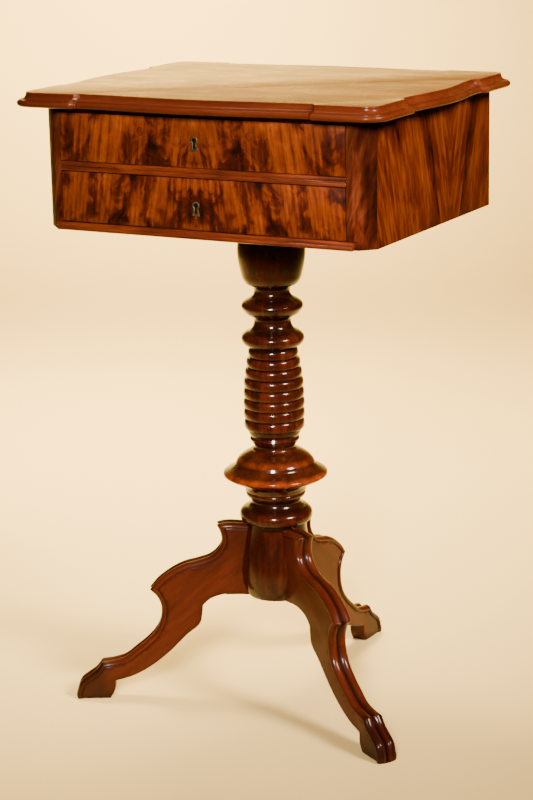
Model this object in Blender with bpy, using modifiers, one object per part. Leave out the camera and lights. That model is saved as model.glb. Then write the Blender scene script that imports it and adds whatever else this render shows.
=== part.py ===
"""A small tripod sewing table with two locking drawers, as separate pieces.

Lengths are in metres and +Z is up. The front faces -Y. Every piece is laid out around the
column's axis, and AXIS_Y then puts the middle of the table's plan on the world's origin.
"""

import math

import bmesh
import bpy
from mathutils import Matrix, Vector

# Clearances
GAP = 0.0003  # between fixed pieces that would touch
AXIS_Y = -0.02914  # the column's axis, forward of the middle of the plan

# Top
TOP_Z = 0.760
TOP_THICK = 0.016
TOP_HALF_X = 0.2226  # flat part, at the corner lobes
TOP_HALF_Y = 0.1815
TOP_EDGE = 0.0113  # how far the moulding stands out
TOP_CORNER = 0.016
STEP_X = 0.147  # where the front edge steps in from a lobe
STEP_Y = 0.099
STEP_IN = 0.0065
STEP_RUN = 0.005
BULGE = 0.003
# Edge moulding: how far out as a share of TOP_EDGE, how far down in millimetres
EDGE_PROFILE = (
    (0.0, 0.0),
    (0.03, 1.6),
    (0.12, 3.8),
    (0.33, 6.4),
    (0.72, 8.3),
    (0.93, 9.6),
    (1.0, 12.0),
    (0.93, 14.4),
    (0.74, 16.0),
)

# Case
CASE_BOTTOM = 0.602
CASE_TOP = TOP_Z - TOP_THICK - GAP
CASE_X = 0.209
CASE_FRONT = -0.1675
CASE_BACK = 0.1675
CANT = 0.020
SIDE_THICK = 0.012
BACK_THICK = 0.008
FLOOR_THICK = 0.010
OPENING_X = 0.1812
RAIL_LOW = 0.6708  # the rail between the drawers
RAIL_HIGH = 0.6818
RAIL_BACK = -0.118
TOP_RAIL_LOW = 0.7375
TOP_RAIL_Y = (-0.1635, -0.1255)
KICKER_LOW = 0.7315
RUNNER_IN = 0.150
GUIDE_IN = 0.1815
GUIDE_TALL = 0.014
FOOT_RAIL_HIGH = 0.6115
FOOT_RAIL_X = 0.1888

# Drawers
LOWER_DRAWER = (0.6123, 0.6128, 0.6700, 0.6640)  # underside, front's bottom and top, sides' top
UPPER_DRAWER = (0.6821, 0.6826, 0.7370, 0.7310)
FRONT_X = 0.1805
FRONT_THICK = 0.016
DRAWER_X = 0.1803
DRAWER_SIDE = 0.007
DRAWER_BACK = 0.148
DRAWER_FLOOR = (0.005, 0.0095)  # above the drawer's underside
STOP_X = 0.100

# Locks
KEY_X = -0.005
KEY_Z = {"upper": 0.7125, "lower": 0.640}
LOCK_SIZE = (0.044, 0.008, 0.038)
BOLT_SIZE = (0.0146, 0.0038, 0.018)
BOLT_ROOM = 0.0004
# Round radius, half width and drop of the neck, half width and drop of the flat foot
KEYHOLE_OUT = (0.0048, 0.0029, 0.0040, 0.0056, 0.0118)
KEYHOLE_IN = (0.0027, 0.0011, 0.0034, 0.0019, 0.0093)
PLUG_X = 0.069
PLUG_Z = 0.720
PLUG_RADIUS = 0.0045
PLUG_LONG = 0.0075

# Column, as (radius, height)
BEARER = (0.095, 0.060, 0.584)
TENON = 0.016
LOW_TENON = 0.012
TURN_STEPS = 32
SHAFT_HEAD = (
    (0.0360, 0.5837),
    (0.0368, 0.5820),
    (0.0368, 0.5353),
    (0.0345, 0.5275),
    (0.0300, 0.5214),
    (0.0240, 0.5190),
    (0.0220, 0.5160),
    (0.0220, 0.5095),
    (0.0240, 0.5068),
    (0.0315, 0.5022),
    (0.0362, 0.4980),
    (0.0370, 0.4944),
    (0.0347, 0.4897),
    (0.0303, 0.4848),
    (0.0240, 0.4815),
    (0.0225, 0.4790),
    (0.0225, 0.4735),
    (0.0250, 0.4678),
    (0.0328, 0.4630),
    (0.0372, 0.4580),
    (0.0376, 0.4540),
    (0.0352, 0.4490),
    (0.0275, 0.4448),
)
RINGS = (  # the stack of half-round rings: each one's widest radius and height
    (0.0301, 0.4378),
    (0.0326, 0.4257),
    (0.0345, 0.4134),
    (0.0361, 0.4009),
    (0.0367, 0.3882),
    (0.0371, 0.3756),
    (0.0370, 0.3631),
    (0.0366, 0.3500),
)
RING_DEEP = 0.0028
SHAFT_FOOT = (
    (0.0325, 0.3430),
    (0.0313, 0.3385),
    (0.0290, 0.3345),
    (0.0302, 0.3310),
    (0.0276, 0.3268),
    (0.0253, 0.3235),
    (0.0253, 0.3200),
    (0.0270, 0.3180),
)
FLANGE = (
    (0.0285, 0.3176),
    (0.0360, 0.3138),
    (0.0430, 0.3085),
    (0.0470, 0.3035),
    (0.0492, 0.2985),
    (0.0520, 0.2960),
    (0.0607, 0.2908),
    (0.0630, 0.2890),
    (0.0634, 0.2862),
    (0.0600, 0.2835),
    (0.0470, 0.2790),
    (0.0390, 0.2720),
    (0.0366, 0.2660),
)
BASE = (
    (0.0350, 0.2657),
    (0.0364, 0.2635),
    (0.0356, 0.2603),
    (0.0315, 0.2565),
    (0.0300, 0.2530),
    (0.0315, 0.2490),
    (0.0390, 0.2449),
    (0.0436, 0.2400),
    (0.0444, 0.2345),
    (0.0425, 0.2295),
    (0.0365, 0.2268),
    (0.0365, 0.1332),
)
FLAT = 0.0342  # from the axis to the flat that each leg's shoulder meets

# Legs: outline as (out from the axis, height), from the hub's top over the knee to the toe
LEG_TURNS = {"leg_back": 87.43, "leg_left": 207.43, "leg_right": 327.43}
LEG_HALF = 0.012
LEG_FACE = FLAT + GAP
LEG_TOP = 0.2241
LEG_UNDER = 0.1332
LEG_OVER = (
    (0.0734, 0.2239),
    (0.0706, 0.2180),
    (0.0683, 0.2114),
    (0.0679, 0.2011),
    (0.0719, 0.1930),
    (0.0820, 0.1835),
    (0.0954, 0.1787),
    (0.1153, 0.1733),
    (0.1265, 0.1680),
    (0.1377, 0.1608),
    (0.1467, 0.1537),
    (0.1577, 0.1410),
    (0.1495, 0.1328),
    (0.1444, 0.1211),
    (0.1442, 0.1094),
    (0.1474, 0.0965),
    (0.1545, 0.0847),
    (0.1649, 0.0740),
    (0.1762, 0.0648),
    (0.1917, 0.0532),
    (0.2060, 0.0490),
    (0.2205, 0.0468),
    (0.2285, 0.0365),
    (0.2384, 0.0293),
    (0.2473, 0.0219),
    (0.2514, 0.0127),
    (0.2531, 0.0),
)
LEG_BELOW = (
    (0.2106, 0.0),
    (0.2045, 0.0113),
    (0.2041, 0.0224),
    (0.1810, 0.0293),
    (0.1579, 0.0421),
    (0.1375, 0.0580),
    (0.1140, 0.0814),
    (0.0951, 0.1001),
    (0.0935, 0.1092),
    (0.0926, 0.1197),
    (0.0845, 0.1275),
    (0.0703, LEG_UNDER),
)
TONGUE = (0.0045, 0.0065, 0.010)  # half width at the shoulder, half width at the end, length
TONGUE_ROOM = 0.0003

# Iron plate and screws
IRON_THICK = 0.002
IRON_RADIUS = 0.030
IRON_REACH = 0.064
IRON_HALF = 0.007
IRON_SCREW_OUT = 0.053
IRON_SCREW_LONG = 0.014
IRON_PROUD = 0.0002  # how far the plate stands out of its bed
SCREW_HEAD = 0.0030
SCREW_SHANK = 0.0014
SCREW_SINK = 0.0016
SCREW_ROOM = 0.0003
SCREW_STEPS = 12

COLOURS = {
    "top": (0.42, 0.22, 0.10),
    "veneer": (0.30, 0.11, 0.04),
    "mahogany": (0.20, 0.06, 0.025),
    "inner_wood": (0.45, 0.30, 0.17),
    "brass": (0.70, 0.48, 0.18),
    "steel": (0.45, 0.45, 0.45),
    "iron": (0.06, 0.06, 0.065),
}


def clear_scene():
    """Remove everything that Blender starts with."""
    for obj in list(bpy.data.objects):
        bpy.data.objects.remove(obj, do_unlink=True)


def new_collection(name):
    """Add a collection to the scene."""
    collection = bpy.data.collections.new(name)
    bpy.context.scene.collection.children.link(collection)
    return collection


def material_for(name, kind):
    """One Principled material for one piece, in the colour of its kind."""
    material = bpy.data.materials.new(name)
    material.use_nodes = True
    shader = material.node_tree.nodes["Principled BSDF"]
    shader.inputs["Base Color"].default_value = (*COLOURS[kind], 1.0)
    shader.inputs["Metallic"].default_value = 1.0 if kind in ("brass", "steel", "iron") else 0.0
    shader.inputs["Roughness"].default_value = 0.35
    return material


def add_object(name, data, kind=None, parent=None):
    """Put a piece among the parts, or with no kind among the hidden cutters."""
    obj = bpy.data.objects.new(name, data)
    if kind:
        PARTS.objects.link(obj)
        data.materials.append(material_for(name, kind))
    else:
        CUTTERS.objects.link(obj)
        obj.hide_render = True
        obj.display_type = "WIRE"
    obj.parent = parent or ORIGIN
    return obj


def add_origin(name, location, parent=None):
    """An empty that pieces hang from."""
    empty = bpy.data.objects.new(name, None)
    empty.location = location
    empty.parent = parent
    PARTS.objects.link(empty)
    return empty


def add_box(name, low, high, kind=None, parent=None):
    """A box between two corners."""
    low = Vector(low)
    high = Vector(high)
    mesh = bpy.data.meshes.new(name)
    form = bmesh.new()
    middle = Matrix.Translation((low + high) / 2)
    bmesh.ops.create_cube(form, size=1.0, matrix=middle @ Matrix.Diagonal((*(high - low), 1.0)))
    form.to_mesh(mesh)
    form.free()
    return add_object(name, mesh, kind, parent)


def add_slab(name, outline, low, high, kind=None, parent=None, along="z"):
    """A flat outline drawn out between two places along one axis.

    The outline is (x, y) along z, (x, z) along y and (y, z) along x.
    """
    mesh = bpy.data.meshes.new(name)
    form = bmesh.new()
    corners = []
    for across, up in outline:
        spots = {"z": (across, up, low), "y": (across, low, up), "x": (low, across, up)}
        corners.append(form.verts.new(spots[along]))
    face = form.faces.new(corners)
    grown = bmesh.ops.extrude_face_region(form, geom=[face])
    moved = [item for item in grown["geom"] if isinstance(item, bmesh.types.BMVert)]
    reach = Vector([high - low if axis == along else 0.0 for axis in "xyz"])
    bmesh.ops.translate(form, verts=moved, vec=reach)
    bmesh.ops.recalc_face_normals(form, faces=form.faces)
    form.to_mesh(mesh)
    form.free()
    return add_object(name, mesh, kind, parent)


def add_turned(name, profile, kind=None, parent=None, steps=TURN_STEPS):
    """A turned solid from (radius, height) points that run down its outer side."""
    mesh = bpy.data.meshes.new(name)
    points = [(0.0, 0.0, profile[0][1])]
    points += [(radius, 0.0, height) for radius, height in profile]
    points.append((0.0, 0.0, profile[-1][1]))
    mesh.from_pydata(points, [(i, i + 1) for i in range(len(points) - 1)], [])
    obj = add_object(name, mesh, kind, parent)
    screw = obj.modifiers.new("turn", "SCREW")
    screw.steps = steps
    screw.render_steps = steps
    screw.use_merge_vertices = True
    screw.merge_threshold = 0.00001
    return obj


def cut(obj, cutter):
    """Cut one piece with a hidden cutter."""
    boolean = obj.modifiers.new("cut " + cutter.name, "BOOLEAN")
    boolean.operation = "DIFFERENCE"
    boolean.solver = "EXACT"
    boolean.object = cutter


def edge_inset(along, step):
    """How far the edge of the top stands out from its lobes, at one distance from its middle."""
    away = abs(along)
    if away >= step + STEP_RUN:
        return 0.0
    if away >= step:
        return -STEP_IN * (step + STEP_RUN - away) / STEP_RUN
    return -STEP_IN + (STEP_IN + BULGE) * (0.5 + 0.5 * math.cos(math.pi * away / step))


def top_outline(out, count=9):
    """The plan of the top at one place across its edge moulding."""
    radius = TOP_CORNER + out
    half_x = TOP_HALF_X + out
    half_y = TOP_HALF_Y + out
    points = []
    for turn, long_side, step, near, away in (
        (0, half_y, STEP_Y, half_x, half_y),
        (90, half_x, STEP_X, half_y, half_x),
        (180, half_y, STEP_Y, half_x, half_y),
        (270, half_x, STEP_X, half_y, half_x),
    ):
        stops = [step + STEP_RUN, *(step * math.cos(math.pi * i / (2 * count)) for i in range(count))]
        stops += [-stop for stop in reversed(stops)]
        spin = Matrix.Rotation(math.radians(turn), 2)
        side = [Vector((near + edge_inset(stop, step), -stop)) for stop in stops]
        centre = Vector((near - radius, long_side - radius))
        for i in range(5):
            angle = math.pi * i / 8
            side.append(centre + radius * Vector((math.cos(angle), math.sin(angle))))
        points += [spin @ point for point in side]
    return points


def add_top():
    """The top: a flat board whose serpentine edge carries a cove over a round bead."""
    mesh = bpy.data.meshes.new("top_board")
    form = bmesh.new()
    rings = []
    for share, down in EDGE_PROFILE:
        height = TOP_Z - down / 1000
        rings.append([form.verts.new((*point, height)) for point in top_outline(share * TOP_EDGE)])
    for upper, lower in zip(rings, rings[1:]):
        for i in range(len(upper)):
            form.faces.new((upper[i - 1], lower[i - 1], lower[i], upper[i]))
    form.faces.new(rings[0])
    form.faces.new(reversed(rings[-1]))
    bmesh.ops.recalc_face_normals(form, faces=form.faces)
    form.to_mesh(mesh)
    form.free()
    return add_object("top_board", mesh, "top")


def screw_profile(length, room=0.0):
    """A countersunk screw, point up, from its tip down to its head's face."""
    head = SCREW_HEAD + room
    shank = SCREW_SHANK + room
    return (
        (0.0004, length + room),
        (shank, length - 0.002 + room),
        (shank, SCREW_SINK + room),
        (head, 0.0002 + room),
        (head, -2 * room),
    )


def add_screw(name, place, length, hosts):
    """A slotted screw driven upwards, and its hole in each piece that it passes through."""
    obj = add_turned(name, screw_profile(length), "steel", steps=SCREW_STEPS)
    obj.location = place
    x, y, z = place
    slot = add_box(
        "cut_slot_" + name,
        (x - 0.004, y - 0.0004, z - 0.001),
        (x + 0.004, y + 0.0004, z + 0.0007),
    )
    cut(obj, slot)
    hole = add_turned("cut_" + name, screw_profile(length, SCREW_ROOM), steps=SCREW_STEPS)
    hole.location = place
    for host in hosts:
        cut(host, hole)


def reeded(front, back, low, high):
    """The (y, z) section of a rail with two half-round reeds along its front."""
    radius = (high - low) / 4
    points = [(back, low)]
    for middle in (low + radius, high - radius):
        for i in range(5):
            angle = math.pi * i / 4
            points.append((front + 0.6 * radius * (1 - math.sin(angle)), middle - radius * math.cos(angle)))
        points.pop()
    points.append((front + 0.6 * radius, high))
    points.append((back, high))
    return points


def add_case():
    """The case: sides, canted corner posts, back, floor, rails, runners, guides and kickers."""
    made = {}
    inside = CASE_X - SIDE_THICK
    behind_post = CASE_FRONT + CANT + GAP
    before_back = CASE_BACK - BACK_THICK - GAP
    made["back"] = add_box(
        "case_back",
        (-inside + GAP, CASE_BACK - BACK_THICK, CASE_BOTTOM),
        (inside - GAP, CASE_BACK, CASE_TOP),
        "inner_wood",
    )
    wide = inside - GAP
    narrow = OPENING_X - GAP
    floor_front = CASE_FRONT + 0.0043
    half = ((wide, before_back), (wide, behind_post), (narrow, behind_post), (narrow, floor_front))
    outline = [*half, *((-x, y) for x, y in reversed(half))]
    made["floor"] = add_slab(
        "case_bottom", outline, CASE_BOTTOM, CASE_BOTTOM + FLOOR_THICK, "inner_wood"
    )
    add_slab(
        "bottom_rail",
        reeded(CASE_FRONT - 0.0025, floor_front - GAP, CASE_BOTTOM, FOOT_RAIL_HIGH),
        -FOOT_RAIL_X,
        FOOT_RAIL_X,
        "mahogany",
        along="x",
    )
    made["rail"] = add_slab(
        "divider_rail",
        reeded(CASE_FRONT - 0.001, RAIL_BACK, RAIL_LOW, RAIL_HIGH),
        -narrow,
        narrow,
        "mahogany",
        along="x",
    )
    made["top_rail"] = add_box(
        "top_rail",
        (-narrow, TOP_RAIL_Y[0], TOP_RAIL_LOW),
        (narrow, TOP_RAIL_Y[1], CASE_TOP),
        "mahogany",
    )
    rebate = add_box(
        "cut_rebate",
        (-CASE_X - 0.01, CASE_FRONT - 0.01, CASE_BOTTOM - 0.01),
        (CASE_X + 0.01, floor_front, FOOT_RAIL_HIGH + GAP),
    )
    for side, hand in (("left", -1), ("right", 1)):

        def between(x_in, x_out):
            return sorted((hand * x_in, hand * x_out))

        def block(name, x_in, x_out, ys, zs, kind="inner_wood"):
            near, far = between(x_in, x_out)
            return add_box(f"{name}_{side}", (near, ys[0], zs[0]), (far, ys[1], zs[1]), kind)

        block("case_side", inside, CASE_X, (behind_post, CASE_BACK), (CASE_BOTTOM, CASE_TOP), "veneer")
        outline = (
            (hand * OPENING_X, CASE_FRONT),
            (hand * (CASE_X - CANT), CASE_FRONT),
            (hand * CASE_X, CASE_FRONT + CANT),
            (hand * OPENING_X, CASE_FRONT + CANT),
        )
        post = add_slab(f"corner_post_{side}", outline, CASE_BOTTOM, CASE_TOP, "veneer")
        cut(post, rebate)
        runner = (RAIL_BACK + GAP, before_back)
        block("upper_runner", RUNNER_IN, wide, runner, (RAIL_LOW, RAIL_HIGH))
        kicker = (TOP_RAIL_Y[1] + GAP, before_back)
        made["kicker_" + side] = block("kicker", RUNNER_IN, wide, kicker, (KICKER_LOW, CASE_TOP))
        guide = (behind_post, before_back)
        for level, low in (("lower", LOWER_DRAWER[0]), ("upper", UPPER_DRAWER[0])):
            ys = guide if level == "lower" else (RAIL_BACK + GAP, before_back)
            block(f"{level}_guide", GUIDE_IN, inside - 0.0005, ys, (low, low + GUIDE_TALL))
            stop_y = CASE_FRONT + FRONT_THICK + 0.0005
            block(
                f"{level}_stop",
                STOP_X,
                STOP_X + 0.030,
                (stop_y, stop_y + 0.012),
                (low, low + 0.0035),
            )
    return made


def keyhole_outline(size, grow, x, z):
    """A round hole whose skirt flares to a flat foot, as (x, z) points.

    Each size grows by the same amount, except how far the neck drops.
    """
    radius, neck, neck_drop, foot, foot_drop = size
    radius += grow
    neck += grow
    foot += grow
    foot_drop += grow
    start = math.asin(neck / radius)
    points = []
    for i in range(17):
        angle = -math.pi / 2 + start + (2 * math.pi - 2 * start) * i / 16
        points.append((x + radius * math.cos(angle), z + radius * math.sin(angle)))
    points += [(x - neck, z - neck_drop), (x - foot, z - foot_drop)]
    points += [(x + foot, z - foot_drop), (x + neck, z - neck_drop)]
    return points


def add_lock(level, front, axis, rail):
    """A drawer's lock: a brass keyhole liner, the lock's case and the bolt that rises from it."""
    front_y = CASE_FRONT
    front_back = CASE_FRONT + FRONT_THICK
    top = (UPPER_DRAWER if level == "upper" else LOWER_DRAWER)[2] - 0.0005
    z = KEY_Z[level]
    opening = add_slab(
        f"cut_{level}_keyhole",
        keyhole_outline(KEYHOLE_OUT, GAP, KEY_X, z),
        front_y - 0.01,
        front_back + 0.01,
        along="y",
        parent=axis,
    )
    cut(front, opening)
    liner = add_slab(
        f"{level}_keyhole_liner",
        keyhole_outline(KEYHOLE_OUT, 0.0, KEY_X, z),
        front_y,
        front_back,
        "brass",
        along="y",
        parent=axis,
    )
    bore = add_slab(
        f"cut_{level}_liner",
        keyhole_outline(KEYHOLE_IN, 0.0, KEY_X, z),
        front_y - 0.01,
        front_back + 0.01,
        along="y",
        parent=axis,
    )
    cut(liner, bore)
    wide, deep, tall = LOCK_SIZE
    near = front_back + GAP
    body = add_box(
        f"{level}_lock_case",
        (KEY_X - wide / 2, near, top - tall),
        (KEY_X + wide / 2, near + deep, top),
        "steel",
        axis,
    )
    bolt_wide, bolt_deep, bolt_tall = BOLT_SIZE
    middle = near + deep / 2
    room = BOLT_ROOM
    slot = add_box(
        f"cut_{level}_slot",
        (KEY_X - bolt_wide / 2 - room, middle - bolt_deep / 2 - room, top - bolt_tall - 2 * room),
        (KEY_X + bolt_wide / 2 + room, middle + bolt_deep / 2 + room, top + 0.01),
        parent=axis,
    )
    cut(body, slot)
    lift = add_origin(f"{level}_bolt_axis", (KEY_X, middle, top - room), axis)
    add_box(
        f"{level}_lock_bolt",
        (-bolt_wide / 2, -bolt_deep / 2, -bolt_tall),
        (bolt_wide / 2, bolt_deep / 2, 0.0),
        "brass",
        lift,
    )
    mortise_top = RAIL_LOW + 0.006 if level == "lower" else CASE_TOP + 0.01
    mortise = add_box(
        f"cut_{level}_mortise",
        (KEY_X - bolt_wide / 2 - room, middle - bolt_deep / 2 - room, top),
        (KEY_X + bolt_wide / 2 + room, middle + bolt_deep / 2 + room, mortise_top),
    )
    cut(rail, mortise)


def add_drawer(level, sizes, rail):
    """A drawer: front, sides, back and floor, hanging from an empty on its slide's axis."""
    under, front_low, front_high, side_high = sizes
    axis = add_origin(f"{level}_drawer_axis", (0.0, 0.0, 0.0), ORIGIN)
    front_back = CASE_FRONT + FRONT_THICK
    front = add_box(
        f"{level}_drawer_front",
        (-FRONT_X, CASE_FRONT, front_low),
        (FRONT_X, front_back, front_high),
        "veneer",
        axis,
    )
    within = DRAWER_X - DRAWER_SIDE - GAP
    near = front_back + GAP
    back_front = DRAWER_BACK - DRAWER_SIDE
    for side, hand in (("left", -1), ("right", 1)):
        inner, outer = sorted((hand * (DRAWER_X - DRAWER_SIDE), hand * DRAWER_X))
        add_box(
            f"{level}_drawer_side_{side}",
            (inner, near, under),
            (outer, DRAWER_BACK, side_high),
            "inner_wood",
            axis,
        )
    add_box(
        f"{level}_drawer_back",
        (-within, back_front, under),
        (within, DRAWER_BACK, side_high),
        "inner_wood",
        axis,
    )
    floor_low, floor_high = (under + height for height in DRAWER_FLOOR)
    add_box(
        f"{level}_drawer_floor",
        (-within, near, floor_low),
        (within, back_front - GAP, floor_high),
        "inner_wood",
        axis,
    )
    add_lock(level, front, axis, rail)
    return axis, front


def add_plugs(axis, front):
    """The two round plugs that fill old knob holes in the upper front."""
    for side, hand in (("left", -1), ("right", 1)):
        profile = ((PLUG_RADIUS, 0.0), (PLUG_RADIUS, -PLUG_LONG))
        plug = add_turned(f"knob_plug_{side}", profile, "mahogany", axis, 16)
        grown = PLUG_RADIUS + GAP
        hole = add_turned(f"cut_plug_{side}", ((grown, 0.01), (grown, -PLUG_LONG - GAP)), None, axis, 16)
        for obj in (plug, hole):
            obj.rotation_euler = (math.pi / 2, 0.0, 0.0)
            obj.location = (KEY_X + hand * PLUG_X, CASE_FRONT, PLUG_Z)
        cut(front, hole)


def ring_profile():
    """The stack of half-round rings, as (radius, height) points that run downwards."""
    points = []
    for i, (radius, height) in enumerate(RINGS):
        above = RINGS[i - 1][1] if i else height + 0.0122
        below = RINGS[i + 1][1] if i + 1 < len(RINGS) else height - 0.0130
        rise = (above - height) / 2
        drop = (height - below) / 2
        for share, out in ((0.92, 0.0), (0.55, 0.80), (0.0, 1.0), (-0.55, 0.80)):
            reach = rise if share > 0 else drop
            points.append((radius - RING_DEEP * (1 - out), height + share * reach))
    return points


def add_column():
    """The column: shaft, flange and base, with the bearer board that carries the case."""
    half_x, half_y, low = BEARER
    bearer = add_box(
        "column_bearer",
        (-half_x, -half_y, low),
        (half_x, half_y, CASE_BOTTOM - GAP),
        "inner_wood",
    )
    bore = ((TENON + GAP, CASE_BOTTOM + 0.01), (TENON + GAP, low - 0.01))
    cut(bearer, add_turned("cut_bearer", bore))
    head = ((TENON, CASE_BOTTOM - 2 * GAP), (TENON, low - GAP))
    tenon_low = SHAFT_FOOT[-1][1]
    foot = ((LOW_TENON, tenon_low), (LOW_TENON, BASE[0][1] - 0.030))
    add_turned("column_shaft", (*head, *SHAFT_HEAD, *ring_profile(), *SHAFT_FOOT, *foot), "mahogany")
    flange = add_turned("column_flange", FLANGE, "mahogany")
    base = add_turned("column_base", BASE, "mahogany")
    socket = LOW_TENON + GAP
    sleeve = add_turned("cut_sleeve", ((socket, 0.40), (socket, BASE[0][1] - 0.031)))
    cut(flange, sleeve)
    cut(base, sleeve)
    for name, turn in LEG_TURNS.items():
        spin = (0.0, 0.0, math.radians(turn))
        flat = add_box("cut_flat_" + name, (FLAT, -0.03, LEG_UNDER - 0.01), (0.06, 0.03, 0.2262))
        flat.rotation_euler = spin
        room = TONGUE_ROOM
        narrow, broad, long = TONGUE
        outline = (
            (FLAT + 0.01, -narrow - room),
            (FLAT + 0.01, narrow + room),
            (FLAT, narrow + room),
            (FLAT - long - room, broad + room),
            (FLAT - long - room, -broad - room),
            (FLAT, -narrow - room),
        )
        slot = add_slab("cut_slot_" + name, outline, LEG_UNDER - 0.01, LEG_TOP)
        slot.rotation_euler = spin
        cut(base, flat)
        cut(base, slot)
    return bearer, base


def add_legs():
    """Three scrolled legs with hoofed feet, each with a dovetail tongue along its shoulder."""
    made = {}
    outline = ((LEG_FACE, LEG_UNDER), (LEG_FACE, LEG_TOP), *LEG_OVER, *LEG_BELOW)
    narrow, broad, long = TONGUE
    tongue_outline = (
        (LEG_FACE + 0.002, -narrow),
        (LEG_FACE + 0.002, narrow),
        (FLAT, narrow),
        (FLAT - long, broad),
        (FLAT - long, -broad),
        (FLAT, -narrow),
    )
    for name, turn in LEG_TURNS.items():
        spin = math.radians(turn)
        leg = add_slab(name, outline, -LEG_HALF, LEG_HALF, "mahogany", along="y")
        leg.rotation_euler = (0.0, 0.0, spin)
        tongue = add_slab("add_tongue_" + name, tongue_outline, LEG_UNDER, LEG_TOP - GAP)
        tongue.rotation_euler = (0.0, 0.0, spin)
        join = leg.modifiers.new("tongue", "BOOLEAN")
        join.operation = "UNION"
        join.solver = "EXACT"
        join.object = tongue
        made[name] = leg
    return made


def iron_outline(grow):
    """The plan of the three-armed iron plate, or of the bed it is let into."""
    radius = IRON_RADIUS + grow
    half = IRON_HALF + grow
    reach = IRON_REACH + grow
    root = math.sqrt(radius**2 - half**2)
    outline = []
    for turn in sorted(LEG_TURNS.values()):
        along = math.radians(turn)
        spin = Matrix.Rotation(along, 2)
        for x, y in ((root, -half), (reach, -half), (reach, half), (root, half)):
            outline.append(spin @ Vector((x, y)))
        for degrees in (30, 45, 60, 75, 90):
            angle = along + math.radians(degrees)
            outline.append(radius * Vector((math.cos(angle), math.sin(angle))))
    return outline


def add_iron(base, legs):
    """The iron plate under the hub, let in nearly flush and screwed to the base and to each leg."""
    low = LEG_UNDER - IRON_PROUD
    high = low + IRON_THICK
    plate = add_slab("tripod_iron", iron_outline(0.0), low, high, "iron")
    bed = add_slab("cut_iron_bed", iron_outline(GAP), low - 0.01, high + GAP)
    cut(base, bed)
    under = low + 0.0001
    add_screw("iron_screw_centre", (0.0, 0.0, under), IRON_SCREW_LONG, (plate, base))
    for name, turn in LEG_TURNS.items():
        cut(legs[name], bed)
        along = math.radians(turn)
        place = (IRON_SCREW_OUT * math.cos(along), IRON_SCREW_OUT * math.sin(along), under)
        add_screw("iron_screw_" + name, place, IRON_SCREW_LONG, (plate, legs[name]))


def add_fixings(top, case, bearer):
    """The screws that hold the top to its kickers and the bearer to the case's floor."""
    for side, hand in (("left", -1), ("right", 1)):
        for end, y in (("front", -0.095), ("back", 0.120)):
            kicker = case["kicker_" + side]
            place = (hand * 0.165, y, KICKER_LOW + 0.0005)
            add_screw(f"top_screw_{end}_{side}", place, 0.022, (kicker, top))
            place = (hand * 0.075, math.copysign(0.040, y), BEARER[2] + 0.0005)
            add_screw(f"bearer_screw_{end}_{side}", place, 0.024, (bearer, case["floor"]))


clear_scene()
PARTS = new_collection("vintage_sewing_table")
CUTTERS = new_collection("cutters")
CUTTERS.hide_render = True
ORIGIN = add_origin("table_origin", (0.0, AXIS_Y, 0.0))

top_board = add_top()
case_pieces = add_case()
for drawer_level, drawer_sizes, lock_rail in (
    ("lower", LOWER_DRAWER, case_pieces["rail"]),
    ("upper", UPPER_DRAWER, case_pieces["top_rail"]),
):
    drawer_axis, drawer_front = add_drawer(drawer_level, drawer_sizes, lock_rail)
add_plugs(drawer_axis, drawer_front)
bearer_board, column_base = add_column()
leg_pieces = add_legs()
add_iron(column_base, leg_pieces)
add_fixings(top_board, case_pieces, bearer_board)
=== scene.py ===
"""A small tripod sewing table in French-polished mahogany, dressed around its fixed frame.

Each sub-assembly is a class that builds its meshes around the frame's nodes and dresses them.
Lengths are in metres, +Z is up and the drawers open towards -Y.
"""

import logging
import math
from dataclasses import dataclass, field, replace
from enum import Enum
from typing import Sequence

import bmesh
import bpy
import numpy as np
from mathutils import Matrix, Vector
from mathutils.geometry import delaunay_2d_cdt


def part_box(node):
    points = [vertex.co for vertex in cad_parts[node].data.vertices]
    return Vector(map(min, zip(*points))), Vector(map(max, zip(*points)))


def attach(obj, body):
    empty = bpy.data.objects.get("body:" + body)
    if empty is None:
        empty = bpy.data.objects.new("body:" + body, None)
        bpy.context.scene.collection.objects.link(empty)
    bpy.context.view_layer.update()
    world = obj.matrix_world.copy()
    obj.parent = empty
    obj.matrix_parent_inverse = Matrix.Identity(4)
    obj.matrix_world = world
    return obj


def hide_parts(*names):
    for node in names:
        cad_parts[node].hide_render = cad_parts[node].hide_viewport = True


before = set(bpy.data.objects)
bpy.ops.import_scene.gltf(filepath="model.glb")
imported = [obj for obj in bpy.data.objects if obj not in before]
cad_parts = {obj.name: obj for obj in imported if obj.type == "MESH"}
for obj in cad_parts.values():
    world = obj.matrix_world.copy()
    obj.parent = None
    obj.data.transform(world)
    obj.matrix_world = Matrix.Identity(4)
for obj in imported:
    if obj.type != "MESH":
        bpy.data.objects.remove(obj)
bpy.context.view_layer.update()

LOG = logging.getLogger("sewing_table")
MM = 0.001
AXIS = (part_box("column_flange")[0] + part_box("column_flange")[1]) / 2  # the column's axis, in plan
COLOUR = tuple[float, float, float, float]
LINE = Sequence[tuple[float, float]]
Mesh = bpy.types.Mesh
Object = bpy.types.Object
Material = bpy.types.Material
Tree = bpy.types.NodeTree
Socket = bpy.types.NodeSocket


# ---------------------------------------------------------------- small helpers


def linear(code: str) -> COLOUR:
    """Turn an sRGB hex value to linear light.

    Args:
        code: six hex digits.

    Returns:
        Red, green, blue and an alpha of 1.
    """
    parts = [int(code[i : i + 2], 16) / 255 for i in (0, 2, 4)]
    lit = [c / 12.92 if c <= 0.04045 else ((c + 0.055) / 1.055) ** 2.4 for c in parts]
    return (*lit, 1.0)


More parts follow.
